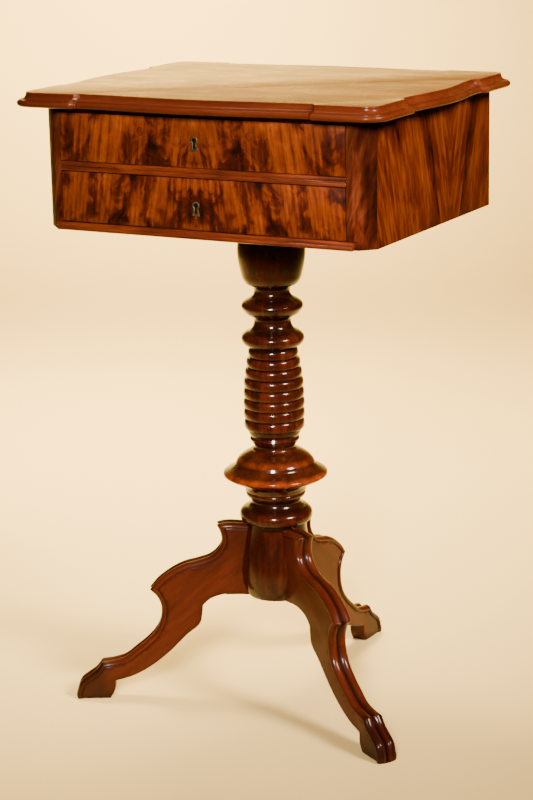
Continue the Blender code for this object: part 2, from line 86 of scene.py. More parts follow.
def add_node(
    tree: Tree, kind: str, values: dict | None = None, links: dict | None = None, **traits
) -> bpy.types.Node:
    """Add a node with its settings and links.

    Args:
        tree: the node tree.
        kind: the node's type, or the end of a shader node's.
        values: socket name or number to a constant.
        links: socket name or number to the output that feeds it.
        traits: the node's own properties.

    Returns:
        The new node.
    """
    node = tree.nodes.new(kind if "Node" in kind else f"ShaderNode{kind}")
    for name, value in traits.items():
        setattr(node, name, value)
    for socket, value in (values or {}).items():
        node.inputs[socket].default_value = value
    for socket, source in (links or {}).items():
        tree.links.new(source, node.inputs[socket])
    return node


def new_object(name: str, mesh: Mesh) -> Object:
    """Put a mesh in the scene as a piece at the origin."""
    obj = bpy.data.objects.new(name, mesh)
    bpy.context.scene.collection.objects.link(obj)
    return obj


def cleaned(mesh: Mesh, degenerate: bool = True) -> Mesh:
    """Merge a mesh's doubles, drop its empty faces if asked, and turn every face outwards."""
    form = bmesh.new()
    form.from_mesh(mesh)
    bmesh.ops.remove_doubles(form, verts=form.verts, dist=1e-6)
    if degenerate:
        bmesh.ops.dissolve_degenerate(form, edges=form.edges, dist=1e-7)
    bmesh.ops.recalc_face_normals(form, faces=form.faces)
    form.to_mesh(mesh)
    form.free()
    return mesh


def rings_to_mesh(name: str, rings: Sequence[Sequence]) -> Mesh:
    """Loft through rings that each hold the same number of points.

    Args:
        name: the mesh's name.
        rings: the rings, in order.

    Returns:
        The mesh, with a face across its first and last ring.
    """
    count = len(rings[0])
    points = [tuple(p) for ring in rings for p in ring]
    faces = []
    for i in range(len(rings) - 1):
        for j in range(count):
            k = (j + 1) % count
            faces.append((i * count + j, (i + 1) * count + j, (i + 1) * count + k, i * count + k))
    faces.append(tuple(range(count)))
    faces.append(tuple(range((len(rings) - 1) * count, len(rings) * count))[::-1])
    mesh = bpy.data.meshes.new(name)
    mesh.from_pydata(points, [], faces)
    return cleaned(mesh)


def smooth_by_angle(mesh: Mesh, degrees: float = 35.0) -> None:
    """Shade a mesh smooth, with edges sharper than an angle kept crisp."""
    mesh.shade_smooth()
    mesh.set_sharp_from_angle(angle=math.radians(degrees))


def grown(name: str, seed: Mesh, tree: Tree, inputs: dict[str, object]) -> Object:
    """Run a geometry-nodes tree on a mesh and keep the plain mesh that it makes.

    Args:
        name: the piece's name.
        seed: the mesh that the tree starts from.
        tree: the tree.
        inputs: its inputs' names and values.

    Returns:
        The piece, without the modifier.
    """
    obj = new_object(name, seed)
    modifier = obj.modifiers.new("tree", "NODES")
    modifier.node_group = tree
    for item in tree.interface.items_tree:
        if item.in_out == "INPUT" and item.name in inputs:
            modifier[item.identifier] = inputs[item.name]
    bpy.context.view_layer.update()
    graph = bpy.context.evaluated_depsgraph_get()
    mesh = bpy.data.meshes.new_from_object(obj.evaluated_get(graph))
    bpy.data.objects.remove(obj, do_unlink=True)
    mesh.name = name
    return new_object(name, mesh)


def new_tree(name: str, inputs: dict[str, str]) -> Tree:
    """An empty geometry-nodes tree.

    Args:
        name: the tree's name.
        inputs: its inputs' names and kinds.

    Returns:
        The tree, with one output for geometry.
    """
    tree = bpy.data.node_groups.new(name, "GeometryNodeTree")
    for label, kind in inputs.items():
        tree.interface.new_socket(label, in_out="INPUT", socket_type=f"NodeSocket{kind}")
    tree.interface.new_socket("Geometry", in_out="OUTPUT", socket_type="NodeSocketGeometry")
    return tree


def new_material(name: str) -> tuple[Material, Tree]:
    """An empty material and its node tree."""
    made = bpy.data.materials.new(name)
    made.use_nodes = True
    made.node_tree.nodes.clear()
    return made, made.node_tree


class Grain(Enum):
    """Which way the wood's fibres run on a board, and the way across them."""

    ALONG_X = ((1, 0, 0), (0, 1, 0), (0, 0, 1))
    ALONG_Y = ((0, 1, 0), (1, 0, 0), (0, 0, 1))
    UPRIGHT_ON_FRONT = ((0, 0, 1), (1, 0, 0), (0, 1, 0))
    UPRIGHT_ON_SIDE = ((0, 0, 1), (0, 1, 0), (1, 0, 0))


def set_vector(mesh: Mesh, name: str, rows: np.ndarray) -> None:
    """Store one vector for each point of a mesh."""
    found = mesh.attributes.get(name) or mesh.attributes.new(name, "FLOAT_VECTOR", "POINT")
    found.data.foreach_set("vector", np.asarray(rows, np.float32).ravel())


def set_value(mesh: Mesh, name: str, values: np.ndarray) -> None:
    """Store one number for each point of a mesh."""
    found = mesh.attributes.get(name) or mesh.attributes.new(name, "FLOAT", "POINT")
    found.data.foreach_set("value", np.asarray(values, np.float32).ravel())


def points_of(mesh: Mesh) -> np.ndarray:
    """A mesh's points as an array."""
    flat = np.empty(len(mesh.vertices) * 3, np.float32)
    mesh.vertices.foreach_get("co", flat)
    return flat.reshape(-1, 3).astype(float)


def lay_grain(mesh: Mesh, grain: Grain, offset: float = 0.0, centre: float | None = None) -> None:
    """Store where each point lies along the fibres, across them and into the board.

    Args:
        mesh: the piece's mesh.
        grain: which way the fibres run.
        offset: how far along the log this board was cut, so that boards differ.
        centre: where the line between two matched leaves of veneer lies, across the fibres.
    """
    axes = np.array(grain.value, float)
    across = 0.37 * offset + 0.5 if centre is None else -centre
    set_vector(mesh, "grain", points_of(mesh) @ axes.T + np.array([offset, across, offset * 0.11]))


def dress(obj: Object, material: Material, body: str, nodes: Sequence[str] = ()) -> Object:
    """Give a finished piece its material, its body and the nodes that it stands for.

    Args:
        obj: the piece.
        material: what it is made of.
        body: the body that it moves with.
        nodes: the frame's nodes that it replaces.

    Returns:
        The piece.
    """
    obj.data.materials.clear()
    obj.data.materials.append(material)
    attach(obj, body)
    if nodes:
        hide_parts(*nodes)
    LOG.info("%s: %d faces on %s", obj.name, len(obj.data.polygons), body)
    return obj


# ---------------------------------------------------------------- finishes


@dataclass(frozen=True)
class Wood:
    """Polished or bare timber, patterned in the piece's own grain coordinates.

    The figure is a slow noise along the fibres, folded into bands where the timber is flamed,
    with the fine fibres and open pores of mahogany over it.
    """

    name: str
    dark: str
    middle: str
    light: str
    figure_mm: float = 45.0  # size of the figure across the fibres
    stretch: float = 4.0  # how much longer the figure is along them
    swirl: float = 0.25  # how far the figure wanders
    bands: float = 0.0  # folds of the flame
    streaks: float = 0.4  # narrow streaks along the fibres
    contrast: float = 1.0
    pore_mm: float = 0.45  # pores are about 0.15 mm wide; drawn wider so that they show
    pore_depth: float = 0.35
    roughness: float = 0.30
    coat: float = 0.8
    coat_roughness: float = 0.07
    bump: float = 0.12
    shade_and_tone_weight: float = 0.0  # how much painted shade, and a darker tone on some parts, darken the colour, from a point attribute
    painted_shade: str = "120502"  # the colour that the painted shade and darker tone tend to
    scratches: float = 0.0
    matched: bool = False  # two leaves of veneer mirrored about the grain's centre line
    lean: float = 0.0  # how far the figure leans towards that line, in degrees
    specular: float = 0.2  # little of the timber's own shine shows under the polish

    def material(self) -> Material:
        """Build the material."""
        made, tree = new_material(self.name)
        place = add_node(tree, "Attribute", attribute_name="grain").outputs["Vector"]
        if self.matched:
            place = self.mirror(tree, place)
        figure = self.figure(tree, place)
        fibres = self.fibres(tree, place)
        pores = self.pores(tree, place)
        mixed = add_node(tree, "Math", {1: 0.30}, {0: fibres, 2: figure}, operation="MULTIPLY_ADD")
        shifted = add_node(tree, "Math", {1: 0.15}, {0: mixed.outputs[0]}, operation="SUBTRACT")
        ramp = add_node(tree, "ValToRGB", links={"Fac": shifted.outputs[0]})
        stops = ramp.color_ramp.elements
        stops[0].position = 0.10
        stops[0].color = linear(self.dark)
        stops[1].position = 1.0
        stops[1].color = linear(self.light)
        middle = stops.new(0.50)
        middle.color = linear(self.middle)
        colour = add_node(
            tree,
            "Mix",
            {"B": linear("1a0703")},
            {"Factor": pores, "A": ramp.outputs["Color"]},
            data_type="RGBA",
        ).outputs["Result"]
        # painted shade, and a darker tone on some parts, from a point attribute
        if self.shade_and_tone_weight:
            colour = self.paint_shade_and_tone(tree, colour)
        height = add_node(tree, "Math", {1: -1.0}, {0: pores, 2: fibres}, operation="MULTIPLY_ADD").outputs[0]
        if self.scratches:
            colour, height = self.scratch(tree, place, colour, height)
        bump = add_node(tree, "Bump", {"Strength": self.bump, "Distance": 0.0004}, {"Height": height})
        gloss = self.gloss(tree, place)
        shader = add_node(
            tree,
            "BsdfPrincipled",
            {
                "IOR": 1.5,
                "Coat Weight": self.coat,
                "Coat Roughness": self.coat_roughness,
                "Coat IOR": 1.5,
                "Specular IOR Level": self.specular,
            },
            {"Base Color": colour, "Roughness": gloss, "Normal": bump.outputs["Normal"]},
        )
        add_node(tree, "OutputMaterial", links={"Surface": shader.outputs[0]})
        return made

    def noise(
        self,
        tree: Tree,
        place: Socket,
        along_mm: float,
        across_mm: float,
        detail: float = 3.0,
        shift: float = 0.0,
    ) -> Socket:
        """Noise whose features have a real length along and across the fibres.

        Args:
            tree: the material's nodes.
            place: the grain coordinates.
            along_mm: the features' length along the fibres.
            across_mm: their length across them.
            detail: how many finer layers the noise has.
            shift: moves the pattern, so that two noises differ.

        Returns:
            The noise, from 0 to 1 about a half.
        """
        mapping = add_node(
            tree,
            "Mapping",
            {
                "Location": (shift, shift * 1.7, shift * 0.6),
                "Scale": (1 / (along_mm * MM), 1 / (across_mm * MM), 1 / (across_mm * MM)),
            },
            {"Vector": place},
        )
        texture = add_node(
            tree,
            "TexNoise",
            {"Scale": 1.0, "Detail": detail, "Roughness": 0.55},
            {"Vector": mapping.outputs[0]},
        )
        return texture.outputs["Fac"]

    def mirror(self, tree: Tree, place: Socket) -> Socket:
        """Fold the veneer about its centre line, as a cabinet maker opens two leaves.

        Args:
            tree: the material's nodes.
            place: the grain coordinates.

        Returns:
            The folded coordinates.
        """
        parts = add_node(tree, "SeparateXYZ", links={"Vector": place}).outputs
        folded = add_node(tree, "Math", links={0: parts["Y"]}, operation="ABSOLUTE")
        return add_node(
            tree, "CombineXYZ", links={"X": parts["X"], "Y": folded.outputs[0], "Z": parts["Z"]}
        ).outputs["Vector"]

    def figure(self, tree: Tree, place: Socket) -> Socket:
        """The broad light and dark figure of the board.

        Args:
            tree: the material's nodes.
            place: the grain coordinates.

        Returns:
            The figure's lightness, about a half.
        """
        size = self.figure_mm
        leaning = add_node(
            tree, "Mapping", {"Rotation": (0.0, 0.0, math.radians(self.lean))}, {"Vector": place}
        ).outputs[0]
        mapping = add_node(
            tree,
            "Mapping",
            {"Scale": (1 / (size * self.stretch * MM), 1 / (size * MM), 1 / (size * MM))},
            {"Vector": leaning},
        )
        wander = add_node(
            tree, "TexNoise", {"Scale": 1.3, "Detail": 2.0, "Roughness": 0.5}, {"Vector": mapping.outputs[0]}
        )
        centred = add_node(
            tree, "VectorMath", {1: (0.5, 0.5, 0.5)}, {0: wander.outputs["Color"]}, operation="SUBTRACT"
        )
        moved = add_node(
            tree,
            "VectorMath",
            {1: (self.swirl * 4, self.swirl * 4, self.swirl * 4)},
            {0: centred.outputs[0], 2: mapping.outputs[0]},
            operation="MULTIPLY_ADD",
        )
        slow = add_node(
            tree,
            "TexNoise",
            {"Scale": 1.0, "Detail": 4.0, "Roughness": 0.55, "Distortion": self.swirl},
            {"Vector": moved.outputs[0]},
        ).outputs["Fac"]
        out = slow
        if self.bands:
            wave = add_node(tree, "Math", {1: self.bands * 2 * math.pi}, {0: slow}, operation="MULTIPLY")
            fold = add_node(tree, "Math", links={0: wave.outputs[0]}, operation="SINE")
            out = add_node(
                tree, "Math", {1: 0.045}, {0: fold.outputs[0], 2: slow}, operation="MULTIPLY_ADD"
            ).outputs[0]
        streaks = self.noise(tree, leaning, 55.0, 5.0, 3.0, 21.0)
        streaked = add_node(
            tree, "Math", {1: self.streaks}, {0: streaks, 2: out}, operation="MULTIPLY_ADD"
        ).outputs[0]
        level = 0.5 + 0.5 * self.streaks
        low = add_node(tree, "Math", {1: level}, {0: streaked}, operation="SUBTRACT")
        return add_node(
            tree, "Math", {1: 1.6 * self.contrast, 2: 0.5}, {0: low.outputs[0]}, operation="MULTIPLY_ADD"
        ).outputs[0]

    def fibres(self, tree: Tree, place: Socket) -> Socket:
        """Fine streaks along the fibres.

        Args:
            tree: the material's nodes.
            place: the grain coordinates.

        Returns:
            Their lightness, about a half.
        """
        return self.noise(tree, place, 40.0, 1.1, 4.0, 3.0)

    def pores(self, tree: Tree, place: Socket) -> Socket:
        """Short dark pores, as a share of their full depth.

        Args:
            tree: the material's nodes.
            place: the grain coordinates.

        Returns:
            The share.
        """
        spread = self.noise(tree, place, 7.0, self.pore_mm, 1.0, 11.0)
        return add_node(
            tree,
            "MapRange",
            {"From Min": 0.60, "From Max": 0.72, "To Min": 0.0, "To Max": self.pore_depth},
            {"Value": spread},
        ).outputs["Result"]

    def gloss(self, tree: Tree, place: Socket) -> Socket:
        """Roughness, a little uneven as hand polishing leaves it.

        Args:
            tree: the material's nodes.
            place: the grain coordinates.

        Returns:
            The roughness.
        """
        patches = self.noise(tree, place, 60.0, 30.0, 3.0, 7.0)
        return add_node(
            tree,
            "MapRange",
            {
                "From Min": 0.3,
                "From Max": 0.7,
                "To Min": self.roughness * 0.8,
                "To Max": self.roughness * 1.25,
            },
            {"Value": patches},
        ).outputs["Result"]

    def paint_shade_and_tone(self, tree: Tree, colour: Socket) -> Socket:
        """Darken the colour with painted shade where a point attribute asks for it, and with a darker tone on
        some parts.

        Args:
            tree: the material's nodes.
            colour: the colour of the open surface.

        Returns:
            The colour, with the painted shade and darker tone mixed in.
        """
        shade_and_tone = add_node(tree, "Attribute", attribute_name="shade_and_tone").outputs["Fac"]
        share = add_node(tree, "Math", {1: self.shade_and_tone_weight}, {0: shade_and_tone}, operation="MULTIPLY")
        return add_node(
            tree, "Mix", {"B": linear(self.painted_shade)}, {"Factor": share.outputs[0], "A": colour}, data_type="RGBA"
        ).outputs["Result"]

    def scratch(self, tree: Tree, place: Socket, colour: Socket, height: Socket) -> tuple[Socket, Socket]:
        """Fine scratches and rubbed marks of a used top.

        Args:
            tree: the material's nodes.
            place: the grain coordinates.
            colour: the colour without them.
            height: the height without them.

        Returns:
            The colour and the height with them.
        """
        depth = None
        for turn, shift in ((0.3, 1.0), (-0.5, 5.0), (1.2, 9.0)):
            mapping = add_node(
                tree,
                "Mapping",
                {"Rotation": (0.0, 0.0, turn), "Scale": (9.0, 420.0, 1.0), "Location": (shift, shift, 0)},
                {"Vector": place},
            )
            lines = add_node(
                tree,
                "TexNoise",
                {"Scale": 1.0, "Detail": 2.0, "Distortion": 0.3},
                {"Vector": mapping.outputs[0]},
            )
            kept = add_node(
                tree, "MapRange", {"From Min": 0.70, "From Max": 0.76}, {"Value": lines.outputs["Fac"]}
            ).outputs["Result"]
            if depth is None:
                depth = kept
            else:
                depth = add_node(tree, "Math", links={0: depth, 1: kept}, operation="MAXIMUM").outputs[0]
        share = add_node(tree, "Math", {1: self.scratches}, {0: depth}, operation="MULTIPLY").outputs[0]
        marked = add_node(
            tree, "Mix", {"B": linear("2a140a")}, {"Factor": share, "A": colour}, data_type="RGBA"
        ).outputs["Result"]
        sunk = add_node(tree, "Math", {1: -1.5}, {0: depth, 2: height}, operation="MULTIPLY_ADD").outputs[0]
        return marked, sunk


@dataclass(frozen=True)
class Metal:
    """Cast or drawn metal with tarnish in patches."""

    name: str
    bright: str
    tarnish: str
    roughness: float
    spread: float = 0.5
    patch_mm: float = 3.0

    def material(self) -> Material:
        """Build the material."""
        made, tree = new_material(self.name)
        place = add_node(tree, "TexCoord").outputs["Object"]
        patches = add_node(
            tree,
            "TexNoise",
            {"Scale": 1 / (self.patch_mm * MM), "Detail": 5.0, "Roughness": 0.65},
            {"Vector": place},
        ).outputs["Fac"]
        share = add_node(
            tree, "MapRange", {"From Min": 0.62 - self.spread * 0.3, "From Max": 0.68}, {"Value": patches}
        ).outputs["Result"]
        colour = add_node(
            tree,
            "Mix",
            {"A": linear(self.bright), "B": linear(self.tarnish)},
            {"Factor": share},
            data_type="RGBA",
        ).outputs["Result"]
        rough = add_node(
            tree,
            "MapRange",
            {"To Min": self.roughness, "To Max": min(1.0, self.roughness + 0.3)},
            {"Value": share},
        ).outputs["Result"]
        bump = add_node(tree, "Bump", {"Strength": 0.2, "Distance": 0.0002}, {"Height": patches})
        shader = add_node(
            tree,
            "BsdfPrincipled",
            {"Metallic": 1.0},
            {"Base Color": colour, "Roughness": rough, "Normal": bump.outputs["Normal"]},
        )
        add_node(tree, "OutputMaterial", links={"Surface": shader.outputs[0]})
        return made


# ---------------------------------------------------------------- shared shaping


def softened(name: str, nodes: Sequence[str], width_mm: float, segments: int = 2) -> Object:
    """A board with its edges eased, in the place of one of the frame's nodes or more.

    Args:
        name: the new piece's name.
        nodes: the nodes whose shape it takes.
        width_mm: how wide the easing is.
        segments: how many faces go round each eased edge.

    Returns:
        The new piece.
    """
    form = bmesh.new()
    for node in nodes:
        form.from_mesh(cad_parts[node].data)
    bmesh.ops.remove_doubles(form, verts=form.verts, dist=1e-5)
    bmesh.ops.dissolve_limit(form, angle_limit=math.radians(1), verts=form.verts, edges=form.edges)
    bmesh.ops.recalc_face_normals(form, faces=form.faces)
    hard = [e for e in form.edges if len(e.link_faces) == 2 and e.calc_face_angle() > math.radians(40)]
    bmesh.ops.bevel(
        form,
        geom=hard,
        offset=width_mm * MM,
        offset_type="OFFSET",
        segments=segments,
        profile=0.5,
        affect="EDGES",
        clamp_overlap=True,
    )
    mesh = bpy.data.meshes.new(name)
    form.to_mesh(mesh)
    form.free()
    smooth_by_angle(mesh, 50)
    return new_object(name, mesh)


def through(points: LINE, gap: float, corner: float = 48.0) -> np.ndarray:
    """A smooth line through points, that keeps a corner where they turn sharply.

    Args:
        points: the points to pass through.
        gap: the longest distance between neighbours on the line.
        corner: the turn, in degrees, from which a point is a corner.

    Returns:
        The line's points.
    """
    spots = np.array(points, float)
    steps = np.diff(spots, axis=0)
    lengths = np.linalg.norm(steps, axis=1)
    headings = steps / lengths[:, None]
    turns = np.degrees(np.arccos(np.clip((headings[1:] * headings[:-1]).sum(1), -1, 1)))
    before = np.vstack([headings[:1], headings])
    after = np.vstack([headings, headings[-1:]])
    for i, turn in enumerate(turns, start=1):
        if turn < corner:
            share = lengths[i] / (lengths[i - 1] + lengths[i])
            blended = headings[i - 1] * share + headings[i] * (1 - share)
            blended /= np.linalg.norm(blended)
            before[i] = blended
            after[i] = blended
    line = [spots[0]]
    for i, length in enumerate(lengths):
        count = max(1, math.ceil(length / gap))
        t = (np.arange(1, count + 1) / count)[:, None]
        start = after[i] * length
        end = before[i + 1] * length
        h1 = 2 * t**3 - 3 * t**2 + 1
        h2 = t**3 - 2 * t**2 + t
        h3 = -2 * t**3 + 3 * t**2
        h4 = t**3 - t**2
        line.extend(h1 * spots[i] + h2 * start + h3 * spots[i + 1] + h4 * end)
    return np.array(line)


# ---------------------------------------------------------------- the top


@dataclass
class TableTop:
    """The serpentine top: a flat board with a cove over a bead along its shaped edge."""

    finish: Wood
    edge: Wood  # the moulding's finish, a darker copy of the top's: painted shade on the moulded edge
    height: float = 0.760
    half_x: float = 0.2226
    half_y: float = 0.1815
    corner: float = 0.016
    step_x: float = 0.147
    step_y: float = 0.099
    step_in: float = 0.0065
    step_run: float = 0.005
    bulge: float = 0.0024
    cove_top: float = 1.9  # in millimetres, down from the flat
    cove_foot: float = 8.4

    def edge_shape(self) -> list[tuple[float, float]]:
        """The moulding as (out, down) in millimetres, from the flat to the underside."""
        shape = [(-0.5, 0.0), (-0.15, 0.08), (0.05, 0.3), (0.12, 1.0), (0.2, 1.7), (0.55, 1.9)]
        for i in range(1, 13):
            turn = math.radians(90 * i / 12)
            shape.append((8.1 - 7.5 * math.cos(turn), 1.9 + 6.4 * math.sin(turn)))
        shape += [(8.45, 8.34), (8.55, 8.5), (8.6, 8.85)]
        for i in range(15):
            turn = math.radians(-66 + 142 * i / 14)
            shape.append((7.5 + 3.8 * math.cos(turn), 12.3 + 3.62 * math.sin(turn)))
        shape += [(8.2, 15.97), (7.6, 16.0)]
        return shape

    def inset(self, along: float, step: float) -> float:
        """How far the edge stands out from its lobes.

        Args:
            along: the distance from the edge's middle.
            step: where the lobe begins.

        Returns:
            The distance, less than 0 where the edge is set in.
        """
        away = abs(along)
        if away >= step + self.step_run:
            return 0.0
        if away >= step:
            share = (step + self.step_run - away) / self.step_run
            return -self.step_in * (0.5 - 0.5 * math.cos(math.pi * share)) ** 0.8
        swell = 0.5 + 0.5 * math.cos(math.pi * away / step)
        return -self.step_in + (self.step_in + self.bulge) * swell

    def outline(self, out: float, count: int = 22) -> list[Vector]:
        """The plan of the edge, around the column's axis.

        Args:
            out: how far out from the flat it runs.
            count: how many points half of a side has.

        Returns:
            Its points, in order.
        """
        radius = self.corner + out
        half_x = self.half_x + out
        half_y = self.half_y + out
        points = []
        for turn, long_side, step, near in (
            (0, half_y, self.step_y, half_x),
            (90, half_x, self.step_x, half_y),
            (180, half_y, self.step_y, half_x),
            (270, half_x, self.step_x, half_y),
        ):
            stops = [step + self.step_run * share for share in (1.6, 1.0, 0.75, 0.5, 0.25)]
            stops += [step * math.cos(math.pi * i / (2 * count)) for i in range(count)]
            stops += [-stop for stop in reversed(stops)]
            spin = Matrix.Rotation(math.radians(turn), 2)
            side = [Vector((near + self.inset(stop, step), -stop)) for stop in stops]
            centre = Vector((near - radius, long_side - radius))
            for i in range(10):
                angle = math.pi * i / 18
                side.append(centre + radius * Vector((math.cos(angle), math.sin(angle))))
            points += [spin @ point for point in side]
        return points

    def build(self) -> Object:
        """Loft the board and dress it."""
        rings = []
        shade_and_tone = []
        for out, down in self.edge_shape():
            ring = self.outline(out * MM)
            height = self.height - down * MM
            rings.append([(p.x, p.y + AXIS.y, height) for p in ring])
            # Painted shade: the whole moulding below the flat is darkened, and its two hollows more.
            at_foot = max(0.0, 1 - abs(down - self.cove_foot) / 1.2)
            hollow = at_foot + max(0.0, 1 - abs(down - self.cove_top) / 0.5)
            shaded = min(1.0, max(0.0, down / 0.4)) * 0.72
            shade_and_tone.append(min(1.0, shaded + 0.28 * hollow))
        mesh = rings_to_mesh("top_piece", rings)
        heights = points_of(mesh)[:, 2]
        downs = np.array([down for _, down in self.edge_shape()])
        depth = (self.height - heights) / MM
        set_value(mesh, "shade_and_tone", np.interp(depth, downs, shade_and_tone))
        lay_grain(mesh, Grain.ALONG_X, 0.3)
        smooth_by_angle(mesh, 38)
        obj = new_object("top_piece", mesh)
        dress(obj, self.finish.material(), "frame", ["top_board"])
        mesh.materials.append(self.edge.material())
        for face in mesh.polygons:
            if face.center.z < self.height - 0.00015 and face.normal.z > -0.9:
                face.material_index = 1
        return obj


# ---------------------------------------------------------------- boards


@dataclass(frozen=True)
class Board:
    """One board: the nodes it takes its shape from, its fibres and how far its edges are eased."""

    name: str
    node: str
    grain: Grain
    ease_mm: float = 0.5
    offset: float = 0.0
    centre: float | None = None


@dataclass
class Carcass:
    """The case: veneered sides and cants, reeded rails and the plain parts inside."""

    veneer: Material  # of the cheeks: a lighter copy of the fronts' veneer, painted light on the sides
    posts: Material  # of the cants: a darker copy of the cheeks' veneer, painted shade on the cants
    rails: Material
    lining: Material
    under_top: float = 0.7437
    on_moulding: float = 0.602

    def board(self, board: Board, material: Material, slot: str) -> None:
        """Build and dress one board of the case.

        Args:
            board: the board.
            material: what it is made of.
            slot: not used.
        """
        obj = softened(board.name, [board.node], board.ease_mm)
        lay_grain(obj.data, board.grain, board.offset, board.centre)
        set_value(obj.data, "shade_and_tone", self.top_shadow_and_low_band(points_of(obj.data)))
        dress(obj, material, "frame", [board.node])

    def top_shadow_and_low_band(self, points: np.ndarray) -> np.ndarray:
        """Painted shadow of the top's overhang just under the top, and darker just above the lowest moulding.
        """
        # painted shadow of the top's overhang, in the 4 mm under it
        high = np.clip(1 - (self.under_top - points[:, 2]) / 0.004, 0, 1)
        # darker in the 3 mm just above the lowest moulding
        low = np.clip(1 - (points[:, 2] - self.on_moulding) / 0.003, 0, 1)
        return np.maximum(high, low)

    def build(self) -> None:
        """Build every board of the case."""
        for side, offset in (("left", 1.1), ("right", 2.05)):
            sheet = Board(f"side_{side}", f"case_side_{side}", Grain.UPRIGHT_ON_SIDE, 0.4, offset, 0.02)
            self.board(sheet, self.veneer, "flame_veneer")
            post = Board(f"post_{side}", f"corner_post_{side}", Grain.UPRIGHT_ON_FRONT, 0.6, offset + 0.4)
            self.board(post, self.posts, "flame_veneer")
            inner = ["upper_runner", "kicker", "lower_guide", "upper_guide"]
            for i, kind in enumerate(inner):
                plain = Board(f"{kind}_{side}_piece", f"{kind}_{side}", Grain.ALONG_Y, 0.5, offset + i)
                self.board(plain, self.lining, "lining_wood")
            for i, kind in enumerate(("lower_stop", "upper_stop")):
                plain = Board(f"{kind}_{side}_piece", f"{kind}_{side}", Grain.ALONG_X, 0.4, offset + i)
                self.board(plain, self.lining, "lining_wood")
        for i, kind in enumerate(("bottom_rail", "divider_rail", "top_rail")):
            rail = Board(f"{kind}_piece", kind, Grain.ALONG_X, 0.25, 4.0 + i)
            self.board(rail, self.rails, "solid_mahogany")
        self.board(Board("back_piece", "case_back", Grain.ALONG_X, 0.6, 8.0), self.lining, "lining_wood")
        self.board(Board("floor_piece", "case_bottom", Grain.ALONG_X, 0.5, 9.0), self.lining, "lining_wood")
        self.board(
            Board("bearer_piece", "column_bearer", Grain.ALONG_X, 1.5, 10.0), self.lining, "lining_wood"
        )


# ---------------------------------------------------------------- drawers


@dataclass
class Drawer:
    """A drawer with a flamed front, dovetailed sides, its lock and its keyhole liner."""

    level: str
    veneer: Material
    lining: Material
    plug: Material
    brass: Material
    steel: Material
    offset: float
    tails: int = 3
    proud: float = 0.00015  # how far the tails stand out of the side, so that they show
    reach: float = 0.0045  # how far behind the front's face they end
    key_x: float = -0.005

    def board(self, kind: str, grain: Grain, material: Material, slot: str, ease: float) -> None:
        """Build and dress one of the drawer's boards.

        Args:
            kind: the end of its node's name.
            grain: which way its fibres run.
            material: what it is made of.
            slot: not used.
            ease: how far its edges are eased, in millimetres.
        """
        node = f"{self.level}_{kind}"
        obj = softened(f"{node}_piece", [node], ease)
        centre = self.key_x if kind == "drawer_front" else None
        lay_grain(obj.data, grain, self.offset + 0.31 * len(kind), centre)
        dress(obj, material, f"{self.level}_drawer", [node])

    def side(self, hand: str) -> None:
        """A drawer's side, with the tails that lap into the front.

        Args:
            hand: left or right.
        """
        node = f"{self.level}_drawer_side_{hand}"
        obj = softened(f"{node}_piece", [node], 0.6)
        low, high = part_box(node)
        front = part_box(f"{self.level}_drawer_front")[0]
        outer = (high.x + self.proud) if hand == "right" else (low.x - self.proud)
        inner = (high.x - 0.006) if hand == "right" else (low.x + 0.006)
        form = bmesh.new()
        form.from_mesh(obj.data)
        pitch = (high.z - low.z - 0.004) / self.tails
        for i in range(self.tails):
            middle = low.z + 0.002 + pitch * (i + 0.5)
            root = pitch * 0.26
            wide = pitch * 0.40
            near = front.y + self.reach
            corners = [(low.y + 0.0005, -root), (low.y + 0.0005, root), (near, wide), (near, -wide)]
            rings = [[form.verts.new((x, y, middle + z)) for y, z in corners] for x in (outer, inner)]
            form.faces.new(rings[0])
            form.faces.new(rings[1][::-1])
            for j in range(4):
                k = (j + 1) % 4
                form.faces.new((rings[0][k], rings[0][j], rings[1][j], rings[1][k]))
        bmesh.ops.recalc_face_normals(form, faces=form.faces)
        form.to_mesh(obj.data)
        form.free()
        lay_grain(obj.data, Grain.ALONG_Y, self.offset + (0.9 if hand == "left" else 1.7))
        dress(obj, self.lining, f"{self.level}_drawer", [node])

    def fitting(self, kind: str, body: str, material: Material, ease: float) -> None:
        """Build and dress a small metal fitting.

        Args:
            kind: the end of its node's name.
            body: the body that it moves with.
            material: what it is made of.
            ease: how far its edges are eased, in millimetres.
        """
        node = f"{self.level}_{kind}"
        dress(softened(f"{node}_piece", [node], ease), material, body, [node])

    def build(self) -> None:
        """Build the drawer and its lock."""
        body = f"{self.level}_drawer"
        self.board("drawer_front", Grain.UPRIGHT_ON_FRONT, self.veneer, "flame_veneer", 0.5)
        self.side("left")
        self.side("right")
        self.board("drawer_back", Grain.ALONG_X, self.lining, "lining_wood", 0.6)
        self.board("drawer_floor", Grain.ALONG_X, self.lining, "lining_wood", 0.3)
        self.fitting("keyhole_liner", body, self.brass, 0.25)
        self.fitting("lock_case", body, self.steel, 0.4)
        self.fitting("lock_bolt", f"{self.level}_bolt", self.brass, 0.3)
        if self.level == "upper":
            for hand in ("left", "right"):
                node = f"knob_plug_{hand}"
                obj = softened(f"{node}_piece", [node], 0.3)
                lay_grain(obj.data, Grain.UPRIGHT_ON_FRONT, 3.3)
                # a constant, a little darker tone over the whole plug
                set_value(obj.data, "shade_and_tone", np.full(len(obj.data.vertices), 0.4))
                dress(obj, self.plug, body, [node])


# ---------------------------------------------------------------- the column


